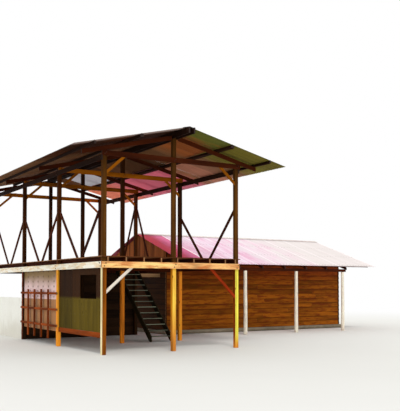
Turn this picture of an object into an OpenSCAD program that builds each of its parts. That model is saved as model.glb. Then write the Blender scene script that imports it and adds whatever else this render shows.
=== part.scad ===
// Stilt house: an open two storey post and beam platform with a sheet roof,
// joined by one beam to a single storey plank cabin with a porch.
// Sizes are in millimetres. The origin is the middle of the front left post's
// foot. X runs to the right along the open front, Y runs back along the ridge.

/* [Post grid] */
// distance between post lines across the front
bay_x = 2100; // [1800:10:2600]
// distance between post rows from front to back
bay_y = 3225; // [2600:5:3600]
// number of bays from front to back
bay_rows = 3; // [2:1:4]
// side of a square post
post_w = 115; // [90:1:150]

/* [Raised floor] */
// height of the underside of the floor beams
floor_beam_z = 2270; // [2000:10:2600]
// depth of the floor beams and the edge beams
floor_beam_d = 170; // [120:5:220]
// thickness of beams, ties, braces and plates sawn from plank
plank_t = 45; // [35:1:60]
// depth of a floor joist
joist_d = 120; // [90:5:160]
// distance between joists
joist_gap = 530; // [400:10:620]
// thickness of the deck boards
deck_t = 25; // [20:1:40]

/* [Upper frame] */
// height of the top of the tie beams
tie_top_z = 5350; // [5000:10:5700]
// depth of a tie beam
tie_d = 140; // [100:5:180]
// height of the top of the wall plates
plate_top_z = 5240; // [5000:10:5500]
// depth of a wall plate
plate_d = 140; // [100:5:180]
// depth of a main rafter
rafter_d = 120; // [90:5:160]
// length of the rafter tail past the post line, measured level
rafter_tail = 670; // [400:10:900]
// depth of the two ridge planks
ridge_beam_d = 160; // [120:5:180]
// how far the ridge planks stick out in front of the sheets
ridge_beam_over = 120; // [0:10:200]

/* [Main roof] */
// angle of the main roof slopes
roof_pitch = 13.4; // [10:0.1:20]
// overhang of the sheets past the side post lines, measured level
eave_over = 1170; // [800:10:1300]
// overhang of the sheets past the front row
front_over = 880; // [500:10:1100]
// overhang of the sheets past the back row
back_over = 160; // [140:10:600]
// width of a purlin
purlin_w = 50; // [40:1:75]
// height of a purlin
purlin_h = 75; // [50:1:100]
// level distance from the ridge to the middle purlin
mid_purlin_r = 1410; // [1000:10:1500]
// width of the middle purlin, on which two rows of sheets meet
mid_purlin_w = 110; // [80:5:150]
// length of grey sheeting on the right slope, from the front edge
grey_sheet_len = 3800; // [1500:20:4500]
// distance from the front edge to the clear sheet
clear_sheet_at = 7980; // [6000:4:8800]
// width of the clear sheets, which reach from the ridge to the middle purlin
clear_sheet_w = 1900; // [600:2:1960]
// width of one side of the ridge cap, measured level
ridge_cap_w = 190; // [120:5:260]

/* [Roof sheets] */
// distance from crest to crest of the corrugated sheets
sheet_pitch = 76; // [70:1:100]
// height of a corrugation
sheet_depth = 17; // [12:1:25]
// thickness of a sheet
sheet_t = 3; // [2:0.5:4]

/* [Braces] */
// width of a brace seen from the side
brace_w = 80; // [60:1:110]
// reach of an upper knee brace along the tie beam
upper_knee_run = 700; // [450:10:750]
// drop of an upper knee brace down the post
upper_knee_drop = 620; // [450:10:750]
// reach of the lower front left brace along the edge beam
left_knee_run = 980; // [700:10:1200]
// drop of the lower front left brace down the post
left_knee_drop = 850; // [650:10:1100]
// reach of the lower front right brace along the edge beam
right_knee_run = 1040; // [700:10:1200]
// drop of the lower front right brace down the post
right_knee_drop = 1020; // [650:10:1200]
// height of a side brace up the post above the deck
side_brace_rise = 1500; // [1000:10:1700]
// distance between the feet of a pair of side braces
side_brace_gap = 220; // [60:10:500]
// height of the two tall braces at the third right post
tall_brace_rise = 2200; // [1800:10:2400]
// reach of the two tall braces along the deck
tall_brace_run = 1080; // [800:10:1300]

/* [Lower walls] */
// thickness of the flat wall sheets
wall_sheet_t = 12; // [8:1:20]
// height of the underside of the sill rail of the window wall
sill_rail_z = 430; // [200:10:600]
// depth of the sill rail
sill_rail_d = 140; // [80:5:200]
// height of the bottom of the side window
window_z = 1450; // [1200:10:1600]
// height of the side window
window_h = 650; // [400:10:750]
// distance from the front row to the side window
window_y = 450; // [200:10:700]
// length of the side window
window_len = 1100; // [600:10:1600]
// height of the joint between the grey and the pale sheets
sheet_joint_z = 1390; // [1000:10:1700]
// height of the grey sheet's lower edge
grey_sheet_z = 440; // [0:10:600]
// height of the white sheet at the back
white_sheet_h = 1400; // [1000:10:2200]
// thickness of the plank wall under the deck
back_wall_t = 25; // [20:1:50]

/* [Side railing] */
// height of the uprights above the ground
rail_top_z = 1700; // [1400:10:1900]
// height of the lower ends of the uprights
rail_bottom_z = 200; // [50:10:400]
// width of a rail
rail_w = 70; // [40:1:90]
// width of an upright
upright_w = 90; // [50:1:120]
// height of the lowest rail
rail_low_z = 570; // [400:10:700]
// distance from rail to rail
rail_gap = 485; // [350:5:520]
// number of rails
rails_n = 3; // [2:1:4]
// number of uprights
rail_uprights = 4; // [3:1:6]

/* [Stair] */
// number of risers
stair_risers = 14; // [12:1:16]
// going of one step
stair_going = 205; // [180:5:240]
// distance from the front row to the first step
stair_y = 3100; // [2900:10:3300]
// distance from the left post line to the left stringer
stair_x = 3050; // [2800:10:3200]
// width of the stair over its stringers
stair_w = 800; // [600:10:850]
// depth of a stringer
stringer_d = 200; // [150:5:250]
// thickness of a tread
tread_t = 28; // [20:1:40]
// distance from the front row to the front edge of the stairwell
well_y = 3500; // [3400:10:3800]

/* [Cabin walls] */
// distance from the left post line to the cabin's left wall
cabin_x = 5200; // [5000:10:5600]
// distance that the cabin's front wall stands in front of the third row
cabin_forward = 450; // [150:10:800]
// length of the cabin
cabin_len = 8670; // [7000:10:9500]
// depth of the cabin
cabin_dep = 4200; // [3600:10:4800]
// thickness of a plank wall with its studs
cabin_wall_t = 75; // [60:1:120]
// height of the concrete base
base_h = 150; // [80:10:300]
// width of the concrete base outside the walls
base_edge = 60; // [20:5:150]

/* [Cabin roof] */
// angle of the cabin roof slopes
cabin_pitch = 18.5; // [15:0.1:25]
// height of the top of the cabin rafters at the ridge
cabin_rafter_z = 3815; // [3500:5:4200]
// depth of a cabin rafter
cabin_rafter_d = 100; // [80:5:140]
// number of cabin rafter pairs
cabin_rafters_n = 9; // [6:1:12]
// side of a square cabin purlin
cabin_purlin_w = 50; // [40:1:75]
// level distance from the ridge to the first cabin purlins
ridge_purlin_r = 100; // [80:10:200]
// level distance from an eave to the last cabin purlin
eave_purlin_in = 90; // [75:5:200]
// number of purlins on the porch slope
porch_purlins_n = 4; // [3:1:6]
// number of purlins on the back slope
back_purlins_n = 3; // [2:1:5]
// thickness of the cabin's ridge board
ridge_board_t = 25; // [20:1:40]
// level distance from the ridge to the back eave
back_eave = 2550; // [2300:10:3000]
// overhang of the sheets past the left wall
cabin_left_over = 150; // [100:10:400]
// overhang of the sheets past the right wall
cabin_right_over = 450; // [100:10:600]
// overhang of the purlins past the right wall
purlin_right_over = 110; // [60:10:200]

/* [Porch] */
// distance from the ridge to the outer side of the porch beam, measured level
porch_beam_r = 3700; // [3000:10:4100]
// overhang of the sheets past the porch beam, measured level
porch_over = 100; // [60:5:300]
// depth of the porch beam
porch_beam_d = 100; // [90:5:160]
// diameter of a round porch post
porch_post_dia = 150; // [100:5:200]
// distance from the left wall to the first porch post
porch_post_x = 2520; // [1500:10:3000]
// distance between porch posts
porch_post_gap = 2430; // [1800:10:3000]
// number of porch posts
porch_posts_n = 3; // [2:1:4]
// length of the porch beam past the middle of its last post
porch_beam_end = 170; // [100:10:600]

/* [Joining beam] */
// height of the underside of the beam between platform and cabin
join_beam_z = 2130; // [1900:10:2250]
// depth of the joining beam
join_beam_d = 130; // [90:5:160]

/* [Hidden] */
grid_x = 2 * bay_x;
grid_y = bay_rows * bay_y;
hp = post_w / 2;
face = hp + plank_t;
joist_z = floor_beam_z + floor_beam_d;
deck_z = joist_z + joist_d;
deck_top = deck_z + deck_t;
slope = tan(roof_pitch);
rafter_v = rafter_d / cos(roof_pitch);
rafter_top = tie_top_z + slope * bay_x + rafter_v;
purlin_v = purlin_h / cos(roof_pitch);
ridge_beam_top = rafter_top + purlin_v - slope * face;
sheet_y0 = -front_over;
sheet_run = whole(front_over + grid_y + back_over);
sheet_len = (bay_x + eave_over) / cos(roof_pitch);
purlin_in = 30;
grey_run = whole(grey_sheet_len);
clear_at = whole(clear_sheet_at);
clear_run = whole(clear_sheet_w);
back_sheet_at = clear_at + clear_run;
row_len = mid_purlin_r / cos(roof_pitch);
riser = deck_top / stair_risers;
stair_top_y = stair_y + (stair_risers - 1) * stair_going;
stringer_v = stringer_d / cos(atan(riser / stair_going));
cslope = tan(cabin_pitch);
cabin_y = 2 * bay_y - cabin_forward;
cabin_ridge_y = cabin_y + cabin_dep / 2;
porch_eave = porch_beam_r + porch_over;
crafter_v = cabin_rafter_d / cos(cabin_pitch);
cabin_sheet_x0 = cabin_x - cabin_left_over;
cabin_sheet_run = whole(cabin_left_over + cabin_len + cabin_right_over);

dark_wood = [0.30, 0.17, 0.11];
warm_wood = [0.62, 0.38, 0.18];
edge_wood = [0.85, 0.58, 0.35];
pale_wood = [0.86, 0.80, 0.72];
plank_wood = [0.50, 0.33, 0.20];
red_sheet = [0.72, 0.28, 0.34];
grey_sheet = [0.55, 0.55, 0.50];

// a length of sheeting rounded to whole corrugations
function whole(len) = round(len / sheet_pitch) * sheet_pitch;

// height of the underside of a main rafter at level distance r from the ridge
function rafter_under(r) = rafter_top - rafter_v - slope * r;

// height of the underside of a cabin rafter at level distance r from the ridge
function crafter_under(r) = cabin_rafter_z - crafter_v - cslope * r;

// upper line of a stringer at distance y from the front row
function stringer_line(y) = riser * (1 + (y - stair_y) / stair_going);

// a post of the side lines, from the ground to the top of the ties
module side_post(col, row) {
    translate([col * bay_x - hp, row * bay_y - hp, 0])
        cube([post_w, post_w, tie_top_z]);
}

// a post of the middle line, from the ground to the top of the ridge planks
module ridge_post(row) {
    translate([bay_x - hp, row * bay_y - hp, 0])
        cube([post_w, post_w, ridge_beam_top]);
}

// the three posts of one row
module post_row(row) {
    side_post(0, row);
    ridge_post(row);
    side_post(2, row);
}

// an extrusion along X of a profile drawn in Y and Z
module along_x(x0, len) {
    translate([x0, 0, 0])
        rotate([90, 0, 90])
            linear_extrude(len)
                children();
}

// an extrusion along Y of a profile drawn in X and Z
module along_y(y0, len) {
    translate([0, y0 + len, 0])
        rotate([90, 0, 0])
            linear_extrude(len)
                children();
}

// a brace in the corner at the origin, from height rise to reach run
module brace_profile(run, rise) {
    ang = atan(rise / run);
    polygon([
        [0, rise],
        [run, 0],
        [run - brace_w / sin(ang), 0],
        [0, rise - brace_w / cos(ang)]
    ]);
}

// the lower line of a corrugated sheet: four corners to a corrugation
function wave(n) = [
    for (i = [0 : n - 1])
        for (c = [[0, 0], [0.2, 0], [0.5, 1], [0.7, 1]])
            [(i + c[0]) * sheet_pitch, c[1] * sheet_depth]
];

// end view of a corrugated sheet that is width wide
module sheet_profile(width) {
    n = round(width / sheet_pitch);
    low = concat(wave(n), [[n * sheet_pitch, 0]]);
    m = len(low);
    polygon(concat(low, [for (i = [m - 1 : -1 : 0]) low[i] + [0, sheet_t]]));
}

// children are drawn on the right slope: X down the slope, Z out of it
module right_slope() {
    translate([bay_x, 0, rafter_top])
        rotate([0, roof_pitch, 0])
            children();
}

// children of the right slope, mirrored to the left one
module left_slope() {
    translate([2 * bay_x, 0, 0])
        mirror([1, 0, 0])
            children();
}

// corrugated sheeting on a main slope, from at to at + run along the ridge, and down
// the slope from start to end
module main_sheets(at, run, start = 0, end = sheet_len) {
    right_slope()
        translate([start, sheet_y0 + at, purlin_h])
            rotate([90, 0, 90])
                linear_extrude(end - start)
                    sheet_profile(run);
}

// the middle and the eave purlin of a main slope
module slope_purlins() {
    right_slope()
        for (p = [[mid_purlin_r, mid_purlin_w], [bay_x + rafter_tail - purlin_w, purlin_w]])
            translate([p[0] / cos(roof_pitch) - p[1] / 2, sheet_y0 + purlin_in, 0])
                cube([p[1], sheet_run - 2 * purlin_in, purlin_h]);
}

// one main rafter on the right of the ridge, its front face at y
module rafter(y) {
    r0 = face;
    r1 = bay_x + rafter_tail;
    along_y(y, plank_t)
        polygon([
            [bay_x + r0, rafter_under(r0)],
            [bay_x + r1, rafter_under(r1)],
            [bay_x + r1, rafter_under(r1) + rafter_v],
            [bay_x + r0, rafter_under(r0) + rafter_v]
        ]);
}

// the pair of rafters at y
module rafter_pair(y) {
    rafter(y);
    left_slope()
        rafter(y);
}

// a tie beam at y that ends past distance over the post lines
module tie_beam(y, over) {
    along_y(y, plank_t)
        polygon([
            [-over, tie_top_z - tie_d],
            [grid_x + over, tie_top_z - tie_d],
            [grid_x + over, rafter_under(bay_x + over)],
            [grid_x, tie_top_z],
            [0, tie_top_z],
            [-over, rafter_under(bay_x + over)]
        ]);
}

// an upper knee brace on the right of the left post, behind the tie at y
module knee_pair(y) {
    for (side = [0, 1])
        translate([side * grid_x, 0, 0])
            mirror([side, 0, 0])
                along_y(y, plank_t)
                    translate([hp, tie_top_z])
                        mirror([0, 1])
                            brace_profile(upper_knee_run, upper_knee_drop);
}

// the near brace of a pair between two posts of a side, in the bay after row
module near_brace(row, run, rise) {
    along_x(-plank_t / 2, plank_t)
        translate([row * bay_y + hp, deck_top])
            brace_profile(run, rise);
}

// the far brace of a pair, in the bay after row
module far_brace(row, run, rise) {
    along_x(-plank_t / 2, plank_t)
        translate([(row + 1) * bay_y - hp, deck_top])
            mirror([1, 0])
                brace_profile(run, rise);
}

side_brace_run = (bay_y - post_w - side_brace_gap) / 2;

module front_left_post() {
    color(warm_wood)
        side_post(0, 0);
}

module front_middle_post() {
    color(warm_wood)
        ridge_post(0);
}

module front_right_post() {
    color(warm_wood)
        side_post(2, 0);
}

module second_row_posts() {
    color(warm_wood)
        post_row(1);
}

module third_row_posts() {
    color(dark_wood)
        post_row(2);
}

module back_row_posts() {
    color(dark_wood)
        for (row = [3 : bay_rows])
            post_row(row);
}

module front_edge_beam() {
    color(edge_wood)
        translate([-face, -face, floor_beam_z])
            cube([grid_x + face + hp, plank_t, floor_beam_d]);
}

module side_edge_beams() {
    color(edge_wood)
        for (x = [-face, grid_x + hp])
            translate([x, -hp, floor_beam_z])
                cube([plank_t, grid_y + post_w, floor_beam_d]);
}

module rear_floor_beams() {
    color(dark_wood) {
        for (row = [1 : bay_rows - 1])
            translate([-hp, row * bay_y - face, floor_beam_z])
                cube([grid_x + post_w, plank_t, floor_beam_d]);
        translate([-face, grid_y + hp, floor_beam_z])
            cube([grid_x + 2 * face, plank_t, floor_beam_d]);
    }
}

joist_x = concat(
    [for (bay = [0, 1]) for (i = [0 : 3]) bay * bay_x + hp + i * joist_gap],
    [grid_x - hp - plank_t]
);
well_x0 = joist_x[5] + plank_t;
well_x1 = joist_x[8];

module floor_joists() {
    color(dark_wood)
        difference() {
            for (x = joist_x)
                translate([x, -face, joist_z])
                    cube([plank_t, grid_y + 2 * face, joist_d]);
            translate([well_x0, well_y - plank_t, joist_z - 1])
                cube([well_x1 - well_x0, stair_top_y - well_y + 2 * plank_t, joist_d + 2]);
        }
}

module well_trimmers() {
    color(dark_wood)
        for (y = [well_y - plank_t, stair_top_y])
            translate([well_x0, y, joist_z])
                cube([well_x1 - well_x0, plank_t, joist_d]);
}

module deck_boards() {
    color(plank_wood)
        difference() {
            translate([-face, -face, deck_z])
                cube([grid_x + 2 * face, grid_y + 2 * face, deck_t]);
            for (col = [0 : 2])
                for (row = [0 : bay_rows])
                    translate([col * bay_x - hp, row * bay_y - hp, deck_z - 1])
                        cube([post_w, post_w, deck_t + 2]);
            translate([well_x0, well_y, deck_z - 1])
                cube([well_x1 - well_x0, stair_top_y - well_y, deck_t + 2]);
        }
}

module front_tie_beam() {
    color(dark_wood)
        tie_beam(-face, face);
}

module rear_tie_beams() {
    color(warm_wood) {
        for (row = [1 : bay_rows - 1])
            tie_beam(row * bay_y - face, hp);
        tie_beam(grid_y + hp, face);
    }
}

module wall_plates() {
    color(dark_wood)
        for (x = [-face, grid_x + hp])
            translate([x, -hp, plate_top_z - plate_d])
                cube([plank_t, grid_y + post_w, plate_d]);
}

// two planks, one on each side of the ridge posts
module ridge_beam() {
    color(dark_wood)
        for (x = [bay_x - face, bay_x + hp])
            translate([x, sheet_y0 - ridge_beam_over, ridge_beam_top - ridge_beam_d])
                cube([plank_t, ridge_beam_over + sheet_run - purlin_in, ridge_beam_d]);
}

module front_rafters() {
    color(dark_wood)
        rafter_pair(-face);
}

module rear_rafters() {
    color(dark_wood) {
        for (row = [1 : bay_rows - 1])
            rafter_pair(row * bay_y - face);
        rafter_pair(grid_y + hp);
    }
}

module roof_purlins() {
    color(dark_wood) {
        slope_purlins();
        left_slope()
            slope_purlins();
    }
}

module left_roof_sheets() {
    color(dark_wood)
        left_slope()
            main_sheets(0, sheet_run);
}

module right_front_sheets() {
    color(grey_sheet)
        main_sheets(0, grey_run);
}

// behind the grey sheets the slope has two rows, which meet on the middle purlin
module right_upper_sheets() {
    color(red_sheet) {
        main_sheets(grey_run, clear_at - grey_run, end = row_len);
        main_sheets(back_sheet_at, sheet_run - back_sheet_at, end = row_len);
    }
}

module right_lower_sheets() {
    color(red_sheet)
        main_sheets(grey_run, sheet_run - grey_run, start = row_len);
}

module clear_roof_sheet() {
    color([0.80, 0.86, 0.88])
        main_sheets(clear_at, clear_run, end = row_len);
}

module ridge_cap() {
    under = rafter_top + (purlin_h + sheet_depth + sheet_t) / cos(roof_pitch);
    over = under + sheet_t / cos(roof_pitch);
    color(grey_sheet)
        along_y(sheet_y0, sheet_run)
            polygon([
                [bay_x - ridge_cap_w, under - slope * ridge_cap_w],
                [bay_x, under],
                [bay_x + ridge_cap_w, under - slope * ridge_cap_w],
                [bay_x + ridge_cap_w, over - slope * ridge_cap_w],
                [bay_x, over],
                [bay_x - ridge_cap_w, over - slope * ridge_cap_w]
            ]);
}

module upper_knee_braces() {
    color(warm_wood) {
        for (row = [0 : bay_rows - 1])
            knee_pair(row * bay_y - hp);
        knee_pair(grid_y + hp - plank_t);
    }
}

module lower_left_brace() {
    color(pale_wood)
        along_y(-hp, plank_t)
            translate([hp, joist_z])
                mirror([0, 1])
                    brace_profile(left_knee_run, left_knee_drop);
}

module lower_right_brace() {
    color(dark_wood)
        along_y(-hp, plank_t)
            translate([grid_x - hp, joist_z])
                mirror([0, 1])
                    mirror([1, 0])
                        brace_profile(right_knee_run, right_knee_drop);
}

module left_side_braces() {
    color(dark_wood)
        for (row = [0 : bay_rows - 1]) {
            near_brace(row, side_brace_run, side_brace_rise);
            far_brace(row, side_brace_run, side_brace_rise);
        }
}

module right_side_braces() {
    color(dark_wood)
        translate([grid_x, 0, 0]) {
            near_brace(0, side_brace_run, side_brace_rise);
            far_brace(0, side_brace_run, side_brace_rise);
            far_brace(1, tall_brace_run, tall_brace_rise);
            near_brace(2, tall_brace_run, tall_brace_rise);
        }
}

// a flat sheet between two posts of the left side, in the bay after row
module side_sheet(row, z0, z1) {
    translate([-wall_sheet_t / 2, row * bay_y + hp, z0])
        cube([wall_sheet_t, bay_y - post_w, z1 - z0]);
}

module window_wall() {
    color([0.35, 0.40, 0.22])
        difference() {
            side_sheet(0, sill_rail_z + sill_rail_d, floor_beam_z);
            translate([-wall_sheet_t, window_y, window_z])
                cube([2 * wall_sheet_t, window_len, window_h]);
        }
}

module sill_rail() {
    color([0.70, 0.32, 0.18])
        translate([-plank_t / 2, hp, sill_rail_z])
            cube([plank_t, bay_y - post_w, sill_rail_d]);
}

module pale_side_sheet() {
    color([0.88, 0.80, 0.80])
        side_sheet(1, sheet_joint_z, floor_beam_z);
}

module grey_side_sheet() {
    color([0.60, 0.62, 0.60])
        side_sheet(1, grey_sheet_z, sheet_joint_z);
}

module white_side_sheet() {
    color([0.92, 0.92, 0.90])
        side_sheet(2, 0, white_sheet_h);
}

module side_railing() {
    span = bay_y + post_w;
    step = (bay_y - post_w) / (rail_uprights + 1);
    color([0.50, 0.25, 0.16])
        translate([-face, bay_y - hp, 0]) {
            for (i = [0 : rails_n - 1])
                translate([0, 0, rail_low_z + i * rail_gap])
                    cube([plank_t, span, rail_w]);
            for (i = [1 : rail_uprights])
                translate([0, post_w + i * step - upright_w / 2, rail_bottom_z])
                    cube([plank_t, upright_w, rail_top_z - rail_bottom_z]);
        }
}

module lower_back_wall() {
    color(dark_wood)
        translate([-hp, 2 * bay_y + hp, 0])
            cube([grid_x + post_w, back_wall_t, joist_z]);
}

module stair_stringers() {
    foot = stair_y + stair_going * (stringer_v / riser - 1);
    color(plank_wood)
        for (x = [stair_x, stair_x + stair_w - plank_t])
            along_x(x, plank_t)
                polygon([
                    [stair_y, 0],
                    [foot, 0],
                    [stair_top_y, stringer_line(stair_top_y) - stringer_v],
                    [stair_top_y, stringer_line(stair_top_y)],
                    [stair_y, stringer_line(stair_y)]
                ]);
}

module stair_treads() {
    color(plank_wood)
        for (i = [1 : stair_risers - 1])
            translate([stair_x + plank_t, stair_y + (i - 1) * stair_going, i * riser - tread_t])
                cube([stair_w - 2 * plank_t, stair_going, tread_t]);
}

module joining_beam() {
    color(plank_wood)
        translate([grid_x + hp, 2 * bay_y - hp, join_beam_z])
            cube([cabin_x - grid_x - hp, plank_t, join_beam_d]);
}

module cabin_base() {
    color([0.62, 0.60, 0.56])
        translate([cabin_x - base_edge, cabin_y - base_edge, 0])
            cube([cabin_len + 2 * base_edge, cabin_dep + 2 * base_edge, base_h]);
}

// a long cabin wall with its outer face at level distance r1 from the ridge
module cabin_long_wall() {
    r1 = cabin_dep / 2;
    r0 = r1 - cabin_wall_t;
    along_x(cabin_x + cabin_wall_t, cabin_len - 2 * cabin_wall_t)
        polygon([
            [cabin_ridge_y - r1, base_h],
            [cabin_ridge_y - r0, base_h],
            [cabin_ridge_y - r0, crafter_under(r0)],
            [cabin_ridge_y - r1, crafter_under(r1)]
        ]);
}

// children of the front half of the cabin, mirrored to the back
module cabin_mirror() {
    translate([0, 2 * cabin_ridge_y, 0])
        mirror([0, 1, 0])
            children();
}

module cabin_front_wall() {
    color(plank_wood)
        cabin_long_wall();
}

module cabin_back_wall() {
    color(plank_wood)
        cabin_mirror()
            cabin_long_wall();
}

// an end wall of the cabin, up to the underside of the purlins
module cabin_gable(x) {
    r = cabin_dep / 2;
    along_x(x, cabin_wall_t)
        polygon([
            [cabin_ridge_y - r, base_h],
            [cabin_ridge_y + r, base_h],
            [cabin_ridge_y + r, cabin_rafter_z - cslope * r],
            [cabin_ridge_y, cabin_rafter_z],
            [cabin_ridge_y - r, cabin_rafter_z - cslope * r]
        ]);
}

module cabin_left_gable() {
    color(plank_wood)
        cabin_gable(cabin_x);
}

module cabin_right_gable() {
    color(plank_wood)
        cabin_gable(cabin_x + cabin_len - cabin_wall_t);
}

// a cabin rafter on the front slope from the ridge board to level distance r1
module cabin_rafter(x, r1) {
    r0 = ridge_board_t / 2;
    along_x(x, plank_t)
        polygon([
            [cabin_ridge_y - r0, crafter_under(r0)],
            [cabin_ridge_y - r0, cabin_rafter_z - cslope * r0],
            [cabin_ridge_y - r1, cabin_rafter_z - cslope * r1],
            [cabin_ridge_y - r1, crafter_under(r1)]
        ]);
}

// the last rafter on the front slope ends at the wall, the others run on over the porch
module cabin_rafters() {
    inner = cabin_len - 2 * cabin_wall_t - plank_t;
    last = cabin_rafters_n - 1;
    color(dark_wood)
        for (i = [0 : last]) {
            x = cabin_x + cabin_wall_t + i * inner / last;
            cabin_rafter(x, i < last ? porch_eave - purlin_in : cabin_dep / 2);
            cabin_mirror()
                cabin_rafter(x, back_eave - purlin_in);
        }
}

// children are drawn on the porch slope: Y up the slope to the ridge, Z out of it
module porch_slope() {
    translate([0, cabin_ridge_y, cabin_rafter_z])
        rotate([cabin_pitch, 0, 0])
            children();
}

// n purlins on the porch slope, spaced evenly down to the eave at level distance r1
module slope_battens(n, r1) {
    step = (r1 - eave_purlin_in - ridge_purlin_r) / (n - 1);
    len = cabin_left_over - purlin_in + cabin_len + purlin_right_over;
    porch_slope()
        for (i = [0 : n - 1])
            translate([
                cabin_sheet_x0 + purlin_in,
                -(ridge_purlin_r + i * step) / cos(cabin_pitch),
                0
            ])
                cube([len, cabin_purlin_w, cabin_purlin_w]);
}

module cabin_purlins() {
    color(dark_wood) {
        slope_battens(porch_purlins_n, porch_eave);
        cabin_mirror()
            slope_battens(back_purlins_n, back_eave);
    }
}

module cabin_ridge_board() {
    r0 = ridge_board_t / 2;
    color(dark_wood)
        translate([cabin_x + cabin_wall_t, cabin_ridge_y - r0, crafter_under(r0)])
            cube([cabin_len - 2 * cabin_wall_t, ridge_board_t, crafter_v]);
}

module porch_beam() {
    r0 = porch_beam_r - plank_t;
    under = crafter_under(porch_beam_r) - porch_beam_d;
    len = porch_post_x + (porch_posts_n - 1) * porch_post_gap + porch_beam_end;
    color(dark_wood)
        along_x(cabin_x, len)
            polygon([
                [cabin_ridge_y - porch_beam_r, under],
                [cabin_ridge_y - r0, under],
                [cabin_ridge_y - r0, crafter_under(r0)],
                [cabin_ridge_y - porch_beam_r, crafter_under(porch_beam_r)]
            ]);
}

module porch_posts() {
    color([0.74, 0.72, 0.68])
        for (i = [0 : porch_posts_n - 1])
            translate([
                cabin_x + porch_post_x + i * porch_post_gap,
                cabin_ridge_y - porch_beam_r + plank_t / 2,
                0
            ])
                cylinder(h = crafter_under(porch_beam_r) - porch_beam_d, d = porch_post_dia, $fn = 48);
}

// corrugated sheeting on the porch slope down to level distance r1
module cabin_sheets(r1) {
    run = r1 / cos(cabin_pitch);
    porch_slope()
        translate([cabin_sheet_x0, 0, cabin_purlin_w])
            rotate([90, 0, 0])
                linear_extrude(run)
                    sheet_profile(cabin_sheet_run);
}

module cabin_front_roof() {
    color(red_sheet)
        cabin_sheets(porch_eave);
}

module cabin_back_roof() {
    color(red_sheet)
        cabin_mirror()
            cabin_sheets(back_eave);
}

module cabin_ridge_cap() {
    under = cabin_rafter_z + (cabin_purlin_w + sheet_depth + sheet_t) / cos(cabin_pitch);
    over = under + sheet_t / cos(cabin_pitch);
    color(red_sheet)
        along_x(cabin_sheet_x0, cabin_sheet_run)
            polygon([
                [cabin_ridge_y - ridge_cap_w, under - cslope * ridge_cap_w],
                [cabin_ridge_y, under],
                [cabin_ridge_y + ridge_cap_w, under - cslope * ridge_cap_w],
                [cabin_ridge_y + ridge_cap_w, over - cslope * ridge_cap_w],
                [cabin_ridge_y, over],
                [cabin_ridge_y - ridge_cap_w, over - cslope * ridge_cap_w]
            ]);
}

front_left_post();
front_middle_post();
front_right_post();
second_row_posts();
third_row_posts();
back_row_posts();
front_edge_beam();
side_edge_beams();
rear_floor_beams();
floor_joists();
well_trimmers();
deck_boards();
front_tie_beam();
rear_tie_beams();
wall_plates();
ridge_beam();
front_rafters();
rear_rafters();
roof_purlins();
left_roof_sheets();
right_front_sheets();
right_upper_sheets();
right_lower_sheets();
clear_roof_sheet();
ridge_cap();
upper_knee_braces();
lower_left_brace();
lower_right_brace();
left_side_braces();
right_side_braces();
window_wall();
sill_rail();
pale_side_sheet();
grey_side_sheet();
white_side_sheet();
side_railing();
lower_back_wall();
stair_stringers();
stair_treads();
joining_beam();
cabin_base();
cabin_front_wall();
cabin_back_wall();
cabin_left_gable();
cabin_right_gable();
cabin_ridge_board();
cabin_rafters();
cabin_purlins();
porch_beam();
porch_posts();
cabin_front_roof();
cabin_back_roof();
cabin_ridge_cap();
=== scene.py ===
"""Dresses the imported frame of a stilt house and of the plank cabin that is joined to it.

Every sawn member, board, sheet and fixing is made from the frame's own solids, in metres.
"""

import math
import random

import bmesh
import bpy
from bpy.props import FloatProperty, FloatVectorProperty, PointerProperty
from mathutils import Matrix, Vector, noise


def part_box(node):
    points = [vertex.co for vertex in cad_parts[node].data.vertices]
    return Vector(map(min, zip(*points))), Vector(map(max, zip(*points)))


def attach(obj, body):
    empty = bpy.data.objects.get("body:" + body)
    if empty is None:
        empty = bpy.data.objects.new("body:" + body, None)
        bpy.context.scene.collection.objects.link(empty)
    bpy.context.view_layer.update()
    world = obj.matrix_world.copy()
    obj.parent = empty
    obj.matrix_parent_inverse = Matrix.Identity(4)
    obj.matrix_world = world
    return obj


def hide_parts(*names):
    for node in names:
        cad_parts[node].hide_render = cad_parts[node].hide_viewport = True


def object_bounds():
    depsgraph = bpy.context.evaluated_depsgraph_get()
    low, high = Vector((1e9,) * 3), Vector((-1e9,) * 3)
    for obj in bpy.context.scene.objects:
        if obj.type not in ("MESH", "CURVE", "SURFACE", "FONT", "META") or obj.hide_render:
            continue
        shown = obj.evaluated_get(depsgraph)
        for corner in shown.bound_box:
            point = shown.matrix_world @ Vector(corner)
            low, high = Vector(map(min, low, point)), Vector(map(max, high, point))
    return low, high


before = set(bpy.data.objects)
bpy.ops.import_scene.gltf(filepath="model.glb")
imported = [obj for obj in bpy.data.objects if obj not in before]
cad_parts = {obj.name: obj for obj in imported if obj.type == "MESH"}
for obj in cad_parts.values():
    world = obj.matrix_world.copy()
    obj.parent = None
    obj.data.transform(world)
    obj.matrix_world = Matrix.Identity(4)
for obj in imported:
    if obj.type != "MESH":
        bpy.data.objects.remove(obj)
cad_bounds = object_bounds()

bl_info = {
    "name": "Stilt House",
    "version": (1, 0, 0),
    "blender": (4, 5, 0),
    "location": "View3D > Sidebar > Stilt House",
    "description": "Dresses the frame of a stilt house with timber, boards and corrugated sheets",
    "category": "Object",
}

BODY = "root"
UP = Vector((0, 0, 1))
EAST = Vector((1, 0, 0))
NORTH = Vector((0, 1, 0))

# slopes of the two roofs
MAIN_PITCH = math.radians(13.4)
CABIN_PITCH = math.radians(18.5)

# thickness of a plank, a stud and a plate
PLANK = 0.045

# points that are closer than this to a face or a line lie on it
NEAR = 0.001

# edges that are sharper than this are eased, a member is bent at steps of this length, and a
# face that is turned along the grain by more than this share is a sawn end
SHARP_EDGE = math.radians(20)
BEND_STEP = 0.45
END_FACING = 0.85

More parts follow.
